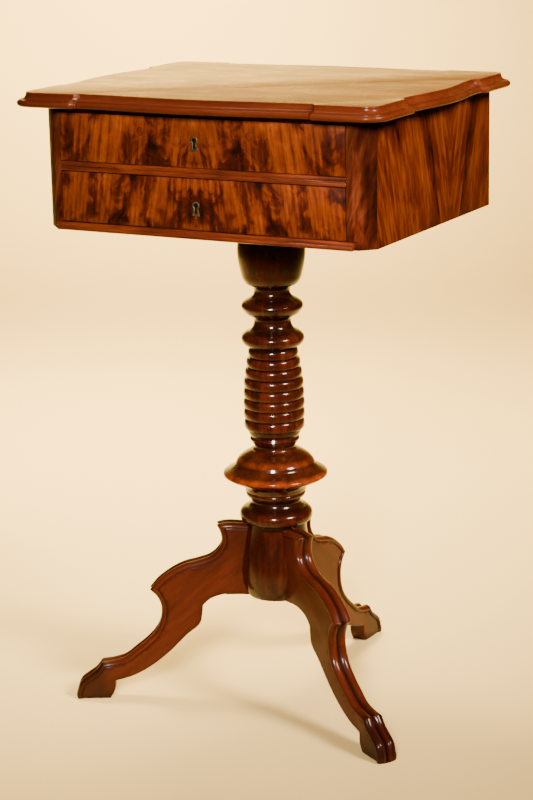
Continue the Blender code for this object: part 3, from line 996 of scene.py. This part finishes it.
@dataclass
class TurnedPart:
    """A turned part of the column, lathed by geometry nodes from its profile."""

    name: str
    node: str
    profile: LINE  # (radius, height), running downwards
    material: Material
    offset: float
    resolution: int = 128

    def tree(self) -> Tree:
        """The lathe: the profile's points become a curve whose radius each point carries."""
        tree = new_tree("lathe", {"Geometry": "Geometry", "Resolution": "Int", "Material": "Material"})
        given = add_node(tree, "NodeGroupInput").outputs
        radius = add_node(tree, "GeometryNodeInputNamedAttribute", {"Name": "radius_here"}, data_type="FLOAT")
        line = add_node(tree, "GeometryNodeMeshToCurve", links={"Mesh": given["Geometry"]})
        ring = add_node(
            tree, "GeometryNodeCurvePrimitiveCircle", {"Radius": 1.0}, {"Resolution": given["Resolution"]}
        )
        sized = add_node(
            tree,
            "GeometryNodeSetCurveRadius",
            links={"Curve": line.outputs["Curve"], "Radius": radius.outputs["Attribute"]},
        )
        turned = add_node(
            tree,
            "GeometryNodeCurveToMesh",
            {"Fill Caps": True},
            {"Curve": sized.outputs["Curve"], "Profile Curve": ring.outputs["Curve"]},
        )
        if "Scale" in turned.inputs:
            tree.links.new(radius.outputs["Attribute"], turned.inputs["Scale"])
        real = add_node(
            tree, "GeometryNodeRealizeInstances", links={"Geometry": turned.outputs["Mesh"]}
        ).outputs["Geometry"]
        done = add_node(
            tree, "GeometryNodeSetMaterial", links={"Geometry": real, "Material": given["Material"]}
        )
        add_node(tree, "NodeGroupOutput", links={"Geometry": done.outputs["Geometry"]})
        return tree

    def build(self) -> Object:
        """Lathe the part and dress it."""
        profile = np.array(self.profile)
        mesh = bpy.data.meshes.new(self.name)
        points = [(AXIS.x, AXIS.y, height) for height in profile[:, 1]]
        mesh.from_pydata(points, [(i, i + 1) for i in range(len(points) - 1)], [])
        set_value(mesh, "radius_here", profile[:, 0])
        inputs = {"Resolution": self.resolution, "Material": self.material}
        obj = grown(self.name, mesh, self.tree(), inputs)
        cleaned(obj.data, degenerate=False)
        self.attributes(obj.data, profile)
        smooth_by_angle(obj.data, 32)
        return dress(obj, self.material, "frame", [self.node])

    def attributes(self, mesh: Mesh, profile: np.ndarray) -> None:
        """Grain up the column, and painted shade from how deep each place lies between its neighbours, with
        the case's shadow painted over the head.

        Args:
            mesh: the part's mesh.
            profile: the radius and height of its profile's points.
        """
        lay_grain(mesh, Grain.UPRIGHT_ON_FRONT, self.offset)
        heights = np.linspace(profile[:, 1].min(), profile[:, 1].max(), 1200)
        order = np.argsort(profile[:, 1])
        radii = np.interp(heights, profile[order, 1], profile[order, 0])
        step = heights[1] - heights[0]
        reach = max(1, int(0.007 / step))
        padded = np.pad(radii, reach, mode="edge")
        near = np.array([padded[i : i + 2 * reach + 1].max() for i in range(len(radii))])
        # painted shade in the hollows between the beads and rings
        depth = np.clip((near - radii) / 0.006, 0, 1)
        # painted shadow of the case over the column's head, above 0.556 m
        depth = np.maximum(depth, np.clip((heights - 0.556) / 0.012, 0, 1))
        set_value(mesh, "shade_and_tone", np.interp(points_of(mesh)[:, 2], heights, depth))


@dataclass
class Column:
    """The turned column: bold beads over a stack of rings, a saucer flange and the hub."""

    material: Material
    saucer: Material  # of the wide flange: a lighter copy of the turned finish, painted light on the flange
    head: LINE = (
        (0.0360, 0.5837), (0.0368, 0.5820), (0.0368, 0.5353), (0.0345, 0.5275), (0.0300, 0.5214),
        (0.0240, 0.5190), (0.0220, 0.5160), (0.0220, 0.5095), (0.0240, 0.5068), (0.0315, 0.5022),
        (0.0362, 0.4980), (0.0370, 0.4944), (0.0347, 0.4897), (0.0303, 0.4848), (0.0240, 0.4815),
        (0.0225, 0.4790), (0.0225, 0.4735), (0.0250, 0.4678), (0.0328, 0.4630), (0.0372, 0.4580),
        (0.0376, 0.4540), (0.0352, 0.4490), (0.0275, 0.4448),
    )
    rings: LINE = (
        (0.0301, 0.4378), (0.0326, 0.4257), (0.0345, 0.4134), (0.0361, 0.4009), (0.0367, 0.3882),
        (0.0371, 0.3756), (0.0370, 0.3631), (0.0366, 0.3500),
    )
    foot: LINE = (
        (0.0325, 0.3430), (0.0313, 0.3385), (0.0290, 0.3345), (0.0302, 0.3310), (0.0276, 0.3268),
        (0.0253, 0.3235), (0.0253, 0.3200), (0.0270, 0.3180), (0.0278, 0.3176),
    )
    flange: LINE = (
        (0.0285, 0.3178), (0.0360, 0.3138), (0.0430, 0.3085), (0.0470, 0.3035), (0.0492, 0.2985),
        (0.0520, 0.2960), (0.0607, 0.2908), (0.0630, 0.2890), (0.0634, 0.2862), (0.0600, 0.2835),
        (0.0470, 0.2790), (0.0390, 0.2720), (0.0366, 0.2660), (0.0350, 0.2657),
    )
    base: LINE = (
        (0.0350, 0.2659), (0.0364, 0.2635), (0.0356, 0.2603), (0.0315, 0.2565), (0.0300, 0.2530),
        (0.0315, 0.2490), (0.0390, 0.2449), (0.0436, 0.2400), (0.0444, 0.2345), (0.0425, 0.2295),
        (0.0365, 0.2268), (0.0365, 0.1342), (0.0358, 0.1332),
    )
    ring_deep: float = 0.0028

    def ring_stack(self) -> list[tuple[float, float]]:
        """The stack of half-round rings, with a crisp valley between neighbours."""
        points = []
        for i, (radius, height) in enumerate(self.rings):
            above = self.rings[i - 1][1] if i else height + 0.0122
            below = self.rings[i + 1][1] if i + 1 < len(self.rings) else height - 0.0130
            for step in range(15):
                turn = math.pi * (0.03 + 0.94 * step / 14)
                up = math.cos(turn)
                reach = (above - height) / 2 if up > 0 else (height - below) / 2
                out = math.sin(turn)
                points.append((radius - self.ring_deep * (1 - out), height + 0.98 * up * reach))
        return points

    def build(self) -> None:
        """Build the column's three parts."""
        shaft = [*through(self.head, 0.0007), *self.ring_stack(), *through(self.foot, 0.0007)]
        parts = (
            ("shaft_piece", "column_shaft", shaft, self.material, 12.0),
            ("flange_piece", "column_flange", through(self.flange, 0.0007), self.saucer, 13.0),
            ("hub_piece", "column_base", through(self.base, 0.0007), self.material, 14.0),
        )
        for name, node, profile, material, offset in parts:
            TurnedPart(name, node, falling(profile), material, offset).build()


def falling(profile: Sequence) -> list[tuple[float, float]]:
    """A profile whose heights always fall a little, so that its curve never turns back."""
    kept = [tuple(profile[0])]
    for radius, height in profile[1:]:
        kept.append((float(radius), min(float(height), kept[-1][1] - 2e-5)))
    return kept


# ---------------------------------------------------------------- legs


def distance_to(points: np.ndarray, line: np.ndarray) -> np.ndarray:
    """How far each point lies from a line of segments.

    Args:
        points: the points.
        line: the points that the segments join.

    Returns:
        One distance for each point.
    """
    best = np.full(len(points), 9.0)
    for start, end in zip(line[:-1], line[1:]):
        along = end - start
        length = along @ along
        if length == 0:
            continue
        share = np.clip(((points - start) @ along) / length, 0, 1)
        gap = np.linalg.norm(points - (start + share[:, None] * along), axis=1)
        best = np.minimum(best, gap)
    return best


def inside(points: np.ndarray, outline: np.ndarray) -> np.ndarray:
    """Which points lie within a closed outline.

    Args:
        points: the points.
        outline: the outline's points, in order.

    Returns:
        True for each point within.
    """
    found = np.zeros(len(points), bool)
    for (x1, y1), (x2, y2) in zip(outline, np.roll(outline, -1, axis=0)):
        if y1 == y2:
            continue
        crosses = (y1 > points[:, 1]) != (y2 > points[:, 1])
        at = x1 + (points[:, 1] - y1) * (x2 - x1) / (y2 - y1)
        found ^= crosses & (points[:, 0] < at)
    return found


def respaced(line: np.ndarray, gap: float) -> np.ndarray:
    """A line's points moved to even spacing, with its sharp corners kept.

    Args:
        line: the line's points.
        gap: the spacing.

    Returns:
        The new points.
    """
    steps = np.diff(line, axis=0)
    keep = np.r_[True, np.linalg.norm(steps, axis=1) > 1e-9]
    line = line[keep]
    steps = np.diff(line, axis=0)
    headings = steps / np.linalg.norm(steps, axis=1)[:, None]
    turns = np.degrees(np.arccos(np.clip((headings[1:] * headings[:-1]).sum(1), -1, 1)))
    corners = [0, *(np.nonzero(turns > 25)[0] + 1), len(line) - 1]
    out = [line[:1]]
    for first, last in zip(corners, corners[1:]):
        piece = line[first : last + 1]
        along = np.r_[0, np.cumsum(np.linalg.norm(np.diff(piece, axis=0), axis=1))]
        count = max(1, round(along[-1] / gap))
        places = np.linspace(0, along[-1], count + 1)[1:]
        out.append(np.column_stack([np.interp(places, along, piece[:, i]) for i in (0, 1)]))
    return np.vstack(out)


@dataclass
class ScrolledLeg:
    """A scrolled leg whose upper edge is worked as two rolls with a groove between them.

    The side view is filled with points that follow its outline, and each point's half width
    comes from how far it lies from the worked edge.
    """

    name: str
    turn: float
    material: Material
    offset: float
    spacing: float = 0.0013
    over: LINE = (
        (0.0330, 0.2241), (0.0440, 0.2249), (0.0560, 0.2259), (0.0660, 0.2252), (0.0734, 0.2232),
        (0.0706, 0.2180), (0.0683, 0.2114), (0.0679, 0.2011), (0.0719, 0.1930), (0.0820, 0.1835),
        (0.0954, 0.1787), (0.1153, 0.1733), (0.1265, 0.1680), (0.1377, 0.1608), (0.1467, 0.1537),
        (0.1577, 0.1410), (0.1495, 0.1328), (0.1444, 0.1211), (0.1442, 0.1094), (0.1474, 0.0965),
        (0.1545, 0.0847), (0.1649, 0.0740), (0.1762, 0.0648), (0.1917, 0.0532), (0.2060, 0.0490),
        (0.2205, 0.0468), (0.2285, 0.0365), (0.2384, 0.0293), (0.2473, 0.0219), (0.2512, 0.0127),
        (0.2526, 0.0010), (0.2520, 0.0),
    )
    below: LINE = (
        (0.2520, 0.0), (0.2106, 0.0), (0.2045, 0.0113), (0.2041, 0.0224), (0.1810, 0.0293), (0.1579, 0.0421),
        (0.1375, 0.0580), (0.1140, 0.0814), (0.0951, 0.1001), (0.0935, 0.1092), (0.0926, 0.1197),
        (0.0845, 0.1275), (0.0703, 0.1332), (0.0330, 0.1332), (0.0330, 0.2241),
    )
    rolls: LINE = (  # (distance from the worked edge, half width), mm
        (0.0, 6.0), (0.3, 7.9), (0.8, 9.2), (1.6, 10.4), (2.6, 11.3), (3.6, 11.8), (4.6, 12.0), (5.6, 11.8),
        (6.3, 11.3), (6.8, 10.6), (7.0, 9.9), (7.4, 10.2),
    )
    groove: LINE = ((0.3, 4.2), (0.8, 2.9), (1.6, 1.6), (2.6, 0.5), (3.0, 0.0))
    ease: float = 0.0016
    hoof: float = 0.2205  # how far out the hoof begins

    def contours(self, over: np.ndarray, below: np.ndarray, outline: np.ndarray) -> np.ndarray:
        """Points inside the side view: rows that follow its edges, and a loose grid between.

        Args:
            over: the worked edge.
            below: the plain edge.
            outline: both, as one closed line.

        Returns:
            The points.
        """
        rows = []
        for line, depths, other in (
            (over, [d for d, _ in self.rolls[1:]], below), (below, (0.15, 0.45, 0.9, 1.6), over)
        ):
            normals = self.inward(line, 0.0, outline)
            for depth in depths:
                spots = line + normals * depth * MM
                fits = distance_to(spots, line) > depth * MM * 0.985
                fits &= distance_to(spots, other) > 0.0004
                rows.append(spots[fits & inside(spots, outline)])
        low = outline.min(0)
        high = outline.max(0)
        across, up = np.meshgrid(np.arange(low[0], high[0], 0.005), np.arange(low[1], high[1], 0.005))
        grid = np.column_stack([across.ravel(), up.ravel()])
        fits = inside(grid, outline)
        fits &= distance_to(grid, over) > 0.0085
        fits &= distance_to(grid, below) > 0.003
        rows.append(grid[fits])
        spots = np.vstack(rows)
        _, first = np.unique(np.round(spots / 0.0002), axis=0, return_index=True)
        return spots[np.sort(first)]

    def inward(self, line: np.ndarray, blur: float, outline: np.ndarray) -> np.ndarray:
        """The direction into the leg at each point of an edge.

        Args:
            line: the edge.
            blur: the length over which the directions are evened out.
            outline: the leg's closed outline.

        Returns:
            One direction for each point.
        """
        ahead = np.gradient(line, axis=0)
        ahead /= np.linalg.norm(ahead, axis=1)[:, None] + 1e-12
        normals = np.column_stack([ahead[:, 1], -ahead[:, 0]])
        middle = len(line) // 2
        probe = line[middle] + normals[middle] * 0.001
        if not inside(probe[None], outline)[0]:
            normals = -normals
        if blur:
            along = np.r_[0, np.cumsum(np.linalg.norm(np.diff(line, axis=0), axis=1))]
            near = np.abs(along[:, None] - along[None]) < blur
            normals = near @ normals
            normals /= np.linalg.norm(normals, axis=1)[:, None]
        return normals

    def widths(self, spots: np.ndarray, over: np.ndarray, below: np.ndarray) -> tuple[np.ndarray, np.ndarray]:
        """How wide the leg is at each point of its side view, and how much painted shade and darker tone it
        has there.

        Args:
            spots: the points.
            over: the worked edge.
            below: the plain edge.

        Returns:
            The half widths, and the painted shade and darker tone at each point.
        """
        from_over = distance_to(spots, over)
        from_below = distance_to(spots, below)
        distances = np.array([d for d, _ in self.rolls]) * MM
        widths = np.array([w for _, w in self.rolls]) * MM
        width = np.interp(from_over, distances, widths)
        short = np.clip(self.ease - from_below, 0, self.ease)
        width = width - (self.ease - np.sqrt(self.ease**2 - short**2))
        foot = np.clip((spots[:, 0] - 0.200) / 0.022, 0, 1)
        width = width * (1 + 0.08 * foot * foot * (3 - 2 * foot))
        # painted shade in the quirk where the rolls end
        shade_and_tone = np.clip(1 - np.abs(from_over - 0.007) / 0.0012, 0, 1) * 0.8
        # painted shade along the lower edge
        painted_shade = np.clip(1 - from_below / 0.005, 0, 1) * 0.55
        # darker near the floor, and over the hoof
        sole = np.clip(1 - spots[:, 1] / 0.016, 0, 1) * (spots[:, 0] > 0.195)
        hoof = np.clip((spots[:, 0] - 0.209) / 0.012, 0, 1) * 0.8
        shade_and_tone = np.maximum.reduce([shade_and_tone, painted_shade, sole, hoof])
        return width, shade_and_tone

    def build(self) -> Object:
        """Shape the leg, turn it to its place round the hub and dress it."""
        over = respaced(through(self.over, 0.0006, 40), self.spacing)
        below = respaced(through(self.below, 0.0006, 40), self.spacing)
        outline = np.vstack([over[:-1], below[:-1]])
        spots = np.vstack([outline, self.contours(over, below, outline)])
        edge = [(i, (i + 1) % len(outline)) for i in range(len(outline))]
        found = delaunay_2d_cdt([Vector(p) for p in spots], edge, [], 0, 1e-7, True)
        plan = np.array([tuple(p) for p in found[0]])
        middles = np.array([plan[list(face)].mean(0) for face in found[2]])
        filled = [face for face, within in zip(found[2], inside(middles, outline)) if within]
        place = {}
        for index, sources in enumerate(found[3]):
            for source in sources:
                place.setdefault(source, index)
        width, shade_and_tone = self.widths(plan, over, below)
        count = len(plan)
        points = [(s, w, z) for (s, z), w in zip(plan, width)]
        points += [(s, -w, z) for (s, z), w in zip(plan, width)]
        shade_and_tone_by_point = [*shade_and_tone, *shade_and_tone]
        faces = [tuple(face) for face in filled]
        faces += [tuple(count + i for i in face[::-1]) for face in filled]
        worked = len(over) - 1
        rim = [place[i] for i in range(worked + 1)]
        columns = self.cut_groove(over, outline, points, shade_and_tone_by_point, rim, count)
        for first, second in zip(columns, columns[1:]):
            for i in range(len(first) - 1):
                faces.append((first[i], second[i], second[i + 1], first[i + 1]))
        faces.append(tuple(columns[0]))
        faces.append(tuple(columns[-1][::-1]))
        for i in range(worked, len(outline)):
            a = place[i]
            b = place[(i + 1) % len(outline)]
            faces.append((a, b, b + count, a + count))
        mesh = self.closed(points, faces, shade_and_tone_by_point)
        smooth_by_angle(mesh, 42)
        obj = new_object(f"{self.name}_piece", mesh)
        return dress(obj, self.material, "frame", [self.name])

    def cut_groove(
        self,
        over: np.ndarray,
        outline: np.ndarray,
        points: list[tuple[float, float, float]],
        shade_and_tone_by_point: list[float],
        edge: list[int],
        count: int,
    ) -> list[list[int]]:
        """Sink the groove between the rolls, as one row of points across each place on the edge.

        Args:
            over: the worked edge.
            outline: the leg's closed outline.
            points: the leg's points, to which the groove's are added.
            shade_and_tone_by_point: the painted shade and darker tone of each point, added to likewise.
            edge: the numbers of the worked edge's points on one side.
            count: how much greater the numbers are on the other side.

        Returns:
            The point numbers of each row.
        """
        normals = self.inward(over, 0.0045, outline)
        columns = []
        for spot, normal, index in zip(over, normals, edge):
            on_hoof = min(1.0, max(0.0, (spot[0] - self.hoof) / 0.006))
            deeper = 1 + 0.7 * on_hoof
            half = points[index][1] / (self.rolls[0][1] * MM)
            column = [index]
            rows = [(d, w) for d, w in self.groove] + [(d, -w) for d, w in reversed(self.groove[:-1])]
            for depth, wide in rows:
                s, z = spot + normal * depth * MM * deeper
                points.append((s, wide * MM * half, max(z, 0.0)))
                # painted shade, deeper down the groove
                shade_and_tone_by_point.append(min(1.0, depth / 2.2))
                column.append(len(points) - 1)
            column.append(index + count)
            columns.append(column)
        return columns

    def closed(self, points: list, faces: list, shade_and_tone_by_point: list) -> Mesh:
        """Join the faces in one mesh, lay its grain down the leg and turn it round the hub.

        Args:
            points: the leg's points.
            faces: its faces, as point numbers.
            shade_and_tone_by_point: the painted shade and darker tone of each point.

        Returns:
            The mesh, in its place.
        """
        mesh = bpy.data.meshes.new(f"{self.name}_piece")
        mesh.from_pydata([tuple(p) for p in points], [], faces)
        set_value(mesh, "shade_and_tone", np.array(shade_and_tone_by_point))
        flat = points_of(mesh)
        along = np.array([0.76, 0.0, -0.65])
        across = np.array([0.65, 0.0, 0.76])
        fibre = np.column_stack([flat @ along + self.offset, flat @ across + self.offset, flat[:, 1]])
        set_vector(mesh, "grain", fibre)
        cleaned(mesh)
        spin = Matrix.Rotation(math.radians(self.turn), 4, "Z")
        mesh.transform(Matrix.Translation((AXIS.x, AXIS.y, 0.0)) @ spin)
        return mesh


# ---------------------------------------------------------------- iron and screws


@dataclass
class Screws:
    """All the wood screws, set in place by geometry nodes from one point and length each."""

    nodes: Sequence[str]
    material: Material
    head: float = 0.0030
    shank: float = 0.0014
    sink: float = 0.0016

    def tree(self) -> Tree:
        """One slotted head and one threaded shank, instanced on each point."""
        inputs = {"Geometry": "Geometry", "Head radius": "Float", "Material": "Material"}
        tree = new_tree("wood_screws", inputs)
        given = add_node(tree, "NodeGroupInput").outputs
        cone = add_node(
            tree,
            "GeometryNodeMeshCone",
            {"Vertices": 32, "Radius Top": self.shank, "Depth": self.sink},
            {"Radius Bottom": given["Head radius"]},
        ).outputs["Mesh"]
        slot = add_node(tree, "GeometryNodeMeshCube", {"Size": (0.02, 0.0008, 0.0014)}).outputs["Mesh"]
        slotted = add_node(
            tree, "GeometryNodeMeshBoolean", links={"Mesh 1": cone, "Mesh 2": slot}, operation="DIFFERENCE"
        ).outputs["Mesh"]
        shaft = add_node(
            tree,
            "GeometryNodeMeshCone",
            {"Vertices": 24, "Radius Top": 0.0004, "Radius Bottom": self.shank * 0.8, "Depth": 1.0},
        ).outputs["Mesh"]
        spiral = add_node(
            tree,
            "GeometryNodeCurveSpiral",
            {
                "Resolution": 20,
                "Rotations": 9.0,
                "Start Radius": self.shank * 0.82,
                "End Radius": 0.0006,
                "Height": 0.96,
            },
        ).outputs["Curve"]
        edge = add_node(
            tree, "GeometryNodeCurvePrimitiveCircle", {"Resolution": 4, "Radius": 0.00022}
        ).outputs["Curve"]
        thread = add_node(
            tree, "GeometryNodeCurveToMesh", {"Fill Caps": True}, {"Curve": spiral, "Profile Curve": edge}
        ).outputs["Mesh"]
        threaded = add_node(tree, "GeometryNodeJoinGeometry")
        tree.links.new(shaft, threaded.inputs[0])
        tree.links.new(thread, threaded.inputs[0])
        heads = add_node(
            tree, "GeometryNodeInstanceOnPoints", links={"Points": given["Geometry"], "Instance": slotted}
        ).outputs["Instances"]
        length = add_node(
            tree, "GeometryNodeInputNamedAttribute", {"Name": "long"}, data_type="FLOAT"
        ).outputs["Attribute"]
        scale = add_node(tree, "CombineXYZ", {"X": 1.0, "Y": 1.0}, {"Z": length}).outputs["Vector"]
        shafts = add_node(
            tree,
            "GeometryNodeInstanceOnPoints",
            links={"Points": given["Geometry"], "Instance": threaded.outputs[0], "Scale": scale},
        ).outputs["Instances"]
        both = add_node(tree, "GeometryNodeJoinGeometry")
        tree.links.new(heads, both.inputs[0])
        tree.links.new(shafts, both.inputs[0])
        real = add_node(
            tree, "GeometryNodeRealizeInstances", links={"Geometry": both.outputs[0]}
        ).outputs["Geometry"]
        done = add_node(
            tree, "GeometryNodeSetMaterial", links={"Geometry": real, "Material": given["Material"]}
        )
        add_node(tree, "NodeGroupOutput", links={"Geometry": done.outputs["Geometry"]})
        return tree

    def build(self) -> Object:
        """Set the screws and dress them."""
        places = []
        lengths = []
        for node in self.nodes:
            low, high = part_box(node)
            places.append(((low.x + high.x) / 2, (low.y + high.y) / 2, low.z))
            lengths.append(high.z - low.z)
        mesh = bpy.data.meshes.new("screws")
        mesh.from_pydata(places, [], [])
        set_value(mesh, "long", np.array(lengths) * 0.999)
        inputs = {"Head radius": self.head, "Material": self.material}
        obj = grown("screws", mesh, self.tree(), inputs)
        smooth_by_angle(obj.data, 30)
        return dress(obj, self.material, "frame", self.nodes)


@dataclass
class UnderIron:
    """The three-armed iron plate that ties the legs to the hub."""

    material: Material

    def build(self) -> Object:
        """Ease the plate's edges and dress it."""
        obj = softened("iron_piece", ["tripod_iron"], 0.4)
        return dress(obj, self.material, "frame", ["tripod_iron"])


# ---------------------------------------------------------------- the studio


@dataclass
class Studio:
    """A pale floor that curves up into a backdrop, four soft lights and a warm fill."""

    floor: str = "f2d48a"
    heading: float = 28.2453  # in degrees
    half_width: float = 12.0
    height: float = 5.0
    turn: float = 2.6  # how far off the floor begins to curve up
    radius: float = 1.2  # of that curve
    lens: float = 98.2  # in millimetres

    def plaster(self, name: str, code: str) -> Material:
        """Matt painted board, a little uneven from the roller.

        Args:
            name: the material's name.
            code: its colour, as sRGB.

        Returns:
            The material.
        """
        made, tree = new_material(name)
        place = add_node(tree, "TexCoord").outputs["Object"]
        cloud = add_node(tree, "TexNoise", {"Scale": 1.5, "Detail": 3.0}, {"Vector": place}).outputs["Fac"]
        red, green, blue, _ = linear(code)
        colour = add_node(
            tree,
            "Mix",
            {"A": (red * 0.97, green * 0.97, blue * 0.96, 1.0), "B": (red, green, blue, 1.0)},
            {"Factor": cloud},
            data_type="RGBA",
        ).outputs["Result"]
        shader = add_node(tree, "BsdfPrincipled", {"Roughness": 0.9}, {"Base Color": colour})
        add_node(tree, "OutputMaterial", links={"Surface": shader.outputs[0]})
        return made

    def sweep(self) -> None:
        """The floor and the backdrop, square to the camera's heading."""
        heading = math.radians(self.heading)
        ahead = Vector((-math.sin(heading), math.cos(heading), 0.0))
        side = Vector((math.cos(heading), math.sin(heading), 0.0))
        path = [(-self.half_width, 0.0), (self.turn, 0.0)]
        for i in range(1, 25):
            angle = math.pi / 2 * i / 24
            path.append((self.turn + self.radius * math.sin(angle), self.radius * (1 - math.cos(angle))))
        path.append((self.turn + self.radius, self.height))
        points = []
        for reach, height in path:
            for hand in (-self.half_width, self.half_width):
                points.append(ahead * reach + side * hand + Vector((0.0, 0.0, height)))
        faces = [(2 * i, 2 * i + 1, 2 * i + 3, 2 * i + 2) for i in range(len(path) - 1)]
        mesh = bpy.data.meshes.new("backdrop")
        mesh.from_pydata([tuple(p) for p in points], [], faces)
        mesh.shade_smooth()
        obj = new_object("backdrop", mesh)
        obj.location.z = -0.0002
        mesh.materials.append(self.plaster("painted_backdrop", self.floor))

    def light(
        self, name: str, place: Sequence, aim: Sequence, size: float, power: float, tint: str, spread: float
    ) -> None:
        """A soft square light with a grid, that faces a place.

        Args:
            name: the light's name.
            place: where it stands.
            aim: what it faces.
            size: the length of its sides.
            power: its power in watts.
            tint: its colour, as sRGB.
            spread: how widely its grid lets it shine, in degrees.
        """
        data = bpy.data.lights.new(name, "AREA")
        data.size = size
        data.energy = power
        data.color = linear(tint)[:3]
        data.spread = math.radians(spread)
        obj = bpy.data.objects.new(name, data)
        obj.location = place
        obj.rotation_euler = (Vector(aim) - Vector(place)).to_track_quat("-Z", "Y").to_euler()
        bpy.context.scene.collection.objects.link(obj)

    def world(self) -> None:
        """An even warm fill."""
        world = bpy.data.worlds.new("studio")
        world.use_nodes = True
        tree = world.node_tree
        tree.nodes.clear()
        fill = add_node(tree, "Background", {"Color": linear("ffeccb"), "Strength": 0.12})
        add_node(tree, "OutputWorld", links={"Surface": fill.outputs[0]})
        bpy.context.scene.world = world

    def camera(self) -> None:
        """The camera, in front of the table and to its right."""
        data = bpy.data.cameras.new("camera")
        data.lens = self.lens
        data.sensor_width = 36.0
        data.sensor_fit = "AUTO"
        obj = bpy.data.objects.new("camera", data)
        right = Vector((0.8832, 0.4686, -0.0198))
        up = Vector((-0.1005, 0.2302, 0.9679))
        ahead = Vector((-0.4582, 0.8529, -0.2504))
        turn = Matrix((right, up, -ahead)).transposed().to_4x4()
        obj.matrix_world = Matrix.Translation((1.1986, -2.2796, 1.0373)) @ turn
        bpy.context.scene.collection.objects.link(obj)
        bpy.context.scene.camera = obj

    def build(self) -> None:
        """Set the stage, the lights and the camera."""
        self.sweep()
        aim = (0.0, -0.03, 0.56)
        self.light("key", (1.04, -2.81, 1.75), aim, 0.55, 11.0, "fff3e0", 32)
        self.light("side", (2.6, -0.5, 2.4), aim, 0.9, 16.0, "ffe9cc", 34)
        self.light("floor_lamp", (-1.0, 0.9, 3.0), (-0.8, 1.1, 0.0), 1.0, 70.0, "ffe6b0", 62)
        self.light("wall_lamp", (-1.6, 1.6, 2.8), (-2.1, 3.5, 0.3), 1.0, 100.0, "ffe6b0", 70)
        self.world()
        self.camera()


# ---------------------------------------------------------------- the table


@dataclass
class SewingTable:
    """The whole table, in the order that its sub-assemblies are built."""

    screws: Sequence[str] = field(
        default_factory=lambda: sorted(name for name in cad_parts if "_screw" in name)
    )

    def build(self) -> None:
        """Build and dress every sub-assembly."""
        top = Wood(
            "polished_top", "3e1e08", "623a18", "865628", figure_mm=38, stretch=7, swirl=0.25,
            streaks=0.3, contrast=0.8, roughness=0.30, coat=0.22, coat_roughness=0.13, specular=0.05,
            shade_and_tone_weight=1.0, painted_shade="350e05", scratches=0.35,
        )
        # The moulding's finish is a darker copy of the top's: its darker colours are painted shade on the
        # moulded edge.
        edge = replace(
            top, name="polished_edge_shaded_copy", dark="2c0f06", middle="552410", light="6c3418", coat=0.12,
            shade_and_tone_weight=0.7, scratches=0.0,
        )
        flame = Wood(
            "flame_veneer", "120301", "380f04", "7e3810", figure_mm=32, stretch=1.5, swirl=0.35,
            bands=2.5, streaks=0.4, contrast=1.2, coat=0.6, specular=0.1, shade_and_tone_weight=0.8, matched=True,
            lean=8,
        )
        veneer = flame.material()
        # The cheeks' veneer is a lighter copy of the fronts': its lighter colours are painted light on the
        # case's sides.
        cheeks = replace(
            flame, name="cheek_veneer_lit_copy", middle="6a250a", light="b45c1c", figure_mm=40, stretch=2.4,
            lean=-16, swirl=0.3, streaks=0.6, contrast=0.95, roughness=0.5, coat=0.12,
            coat_roughness=0.15, specular=0.0,
        )
        # The cants' veneer is a darker copy of the cheeks': its darker colours are painted shade on the
        # canted faces.
        posts = replace(
            cheeks, name="post_veneer_shaded_copy", dark="1c0803", middle="45190c", light="6e3a20", contrast=1.1,
            matched=False,
        )
        turned = Wood(
            "turned_mahogany", "130401", "2e0c04", "54200b", figure_mm=18, stretch=5, swirl=0.2,
            contrast=0.9, roughness=0.25, coat=0.42, coat_roughness=0.07, specular=0.05, shade_and_tone_weight=0.85,
        )
        # The flange's finish is a lighter copy of the turned finish: its lighter colours are painted light
        # for the highlights on its upper face.
        saucer = replace(
            turned, name="saucer_mahogany_lit_copy", dark="2e0d04", middle="64240b", light="8c4018", coat=0.5
        )
        carved = Wood(
            "carved_mahogany", "1e0803", "3e1407", "5a240e", figure_mm=20, stretch=6, contrast=0.55,
            roughness=0.38, coat=0.2, coat_roughness=0.1, specular=0.05, shade_and_tone_weight=0.85, pore_depth=0.5,
        ).material()
        rails = Wood(
            "rail_mahogany", "240a04", "4e1c0b", "6f3013", figure_mm=10, stretch=9, coat=0.5,
            specular=0.1, shade_and_tone_weight=0.5,
        ).material()
        lining = Wood(
            "drawer_lining", "5c3c1e", "86603a", "a47c50", figure_mm=12, stretch=12, contrast=0.9,
            roughness=0.62, coat=0.0, specular=0.4, pore_depth=0.15,
        ).material()
        brass = Metal("aged_brass", "746648", "33281a", 0.38).material()
        steel = Metal("dull_steel", "8a8884", "4a3c32", 0.40).material()
        iron = Metal("black_iron", "3a3836", "2a1c14", 0.55).material()
        TableTop(top, edge).build()
        Carcass(cheeks.material(), posts.material(), rails, lining).build()
        for level, offset in (("lower", 20.0), ("upper", 27.0)):
            Drawer(level, veneer, lining, rails, brass, steel, offset).build()
        Column(turned.material(), saucer.material()).build()
        for name, turn, offset in (
            ("leg_back", 87.43, 31.0), ("leg_left", 207.43, 32.0), ("leg_right", 327.43, 33.0)
        ):
            ScrolledLeg(name, turn, carved, offset).build()
        UnderIron(iron).build()
        Screws(self.screws, steel).build()


def main() -> None:
    """Build the table and its studio."""
    logging.basicConfig(level=logging.INFO, format="%(message)s")
    SewingTable().build()
    Studio().build()


if __name__ == "__main__":
    main()
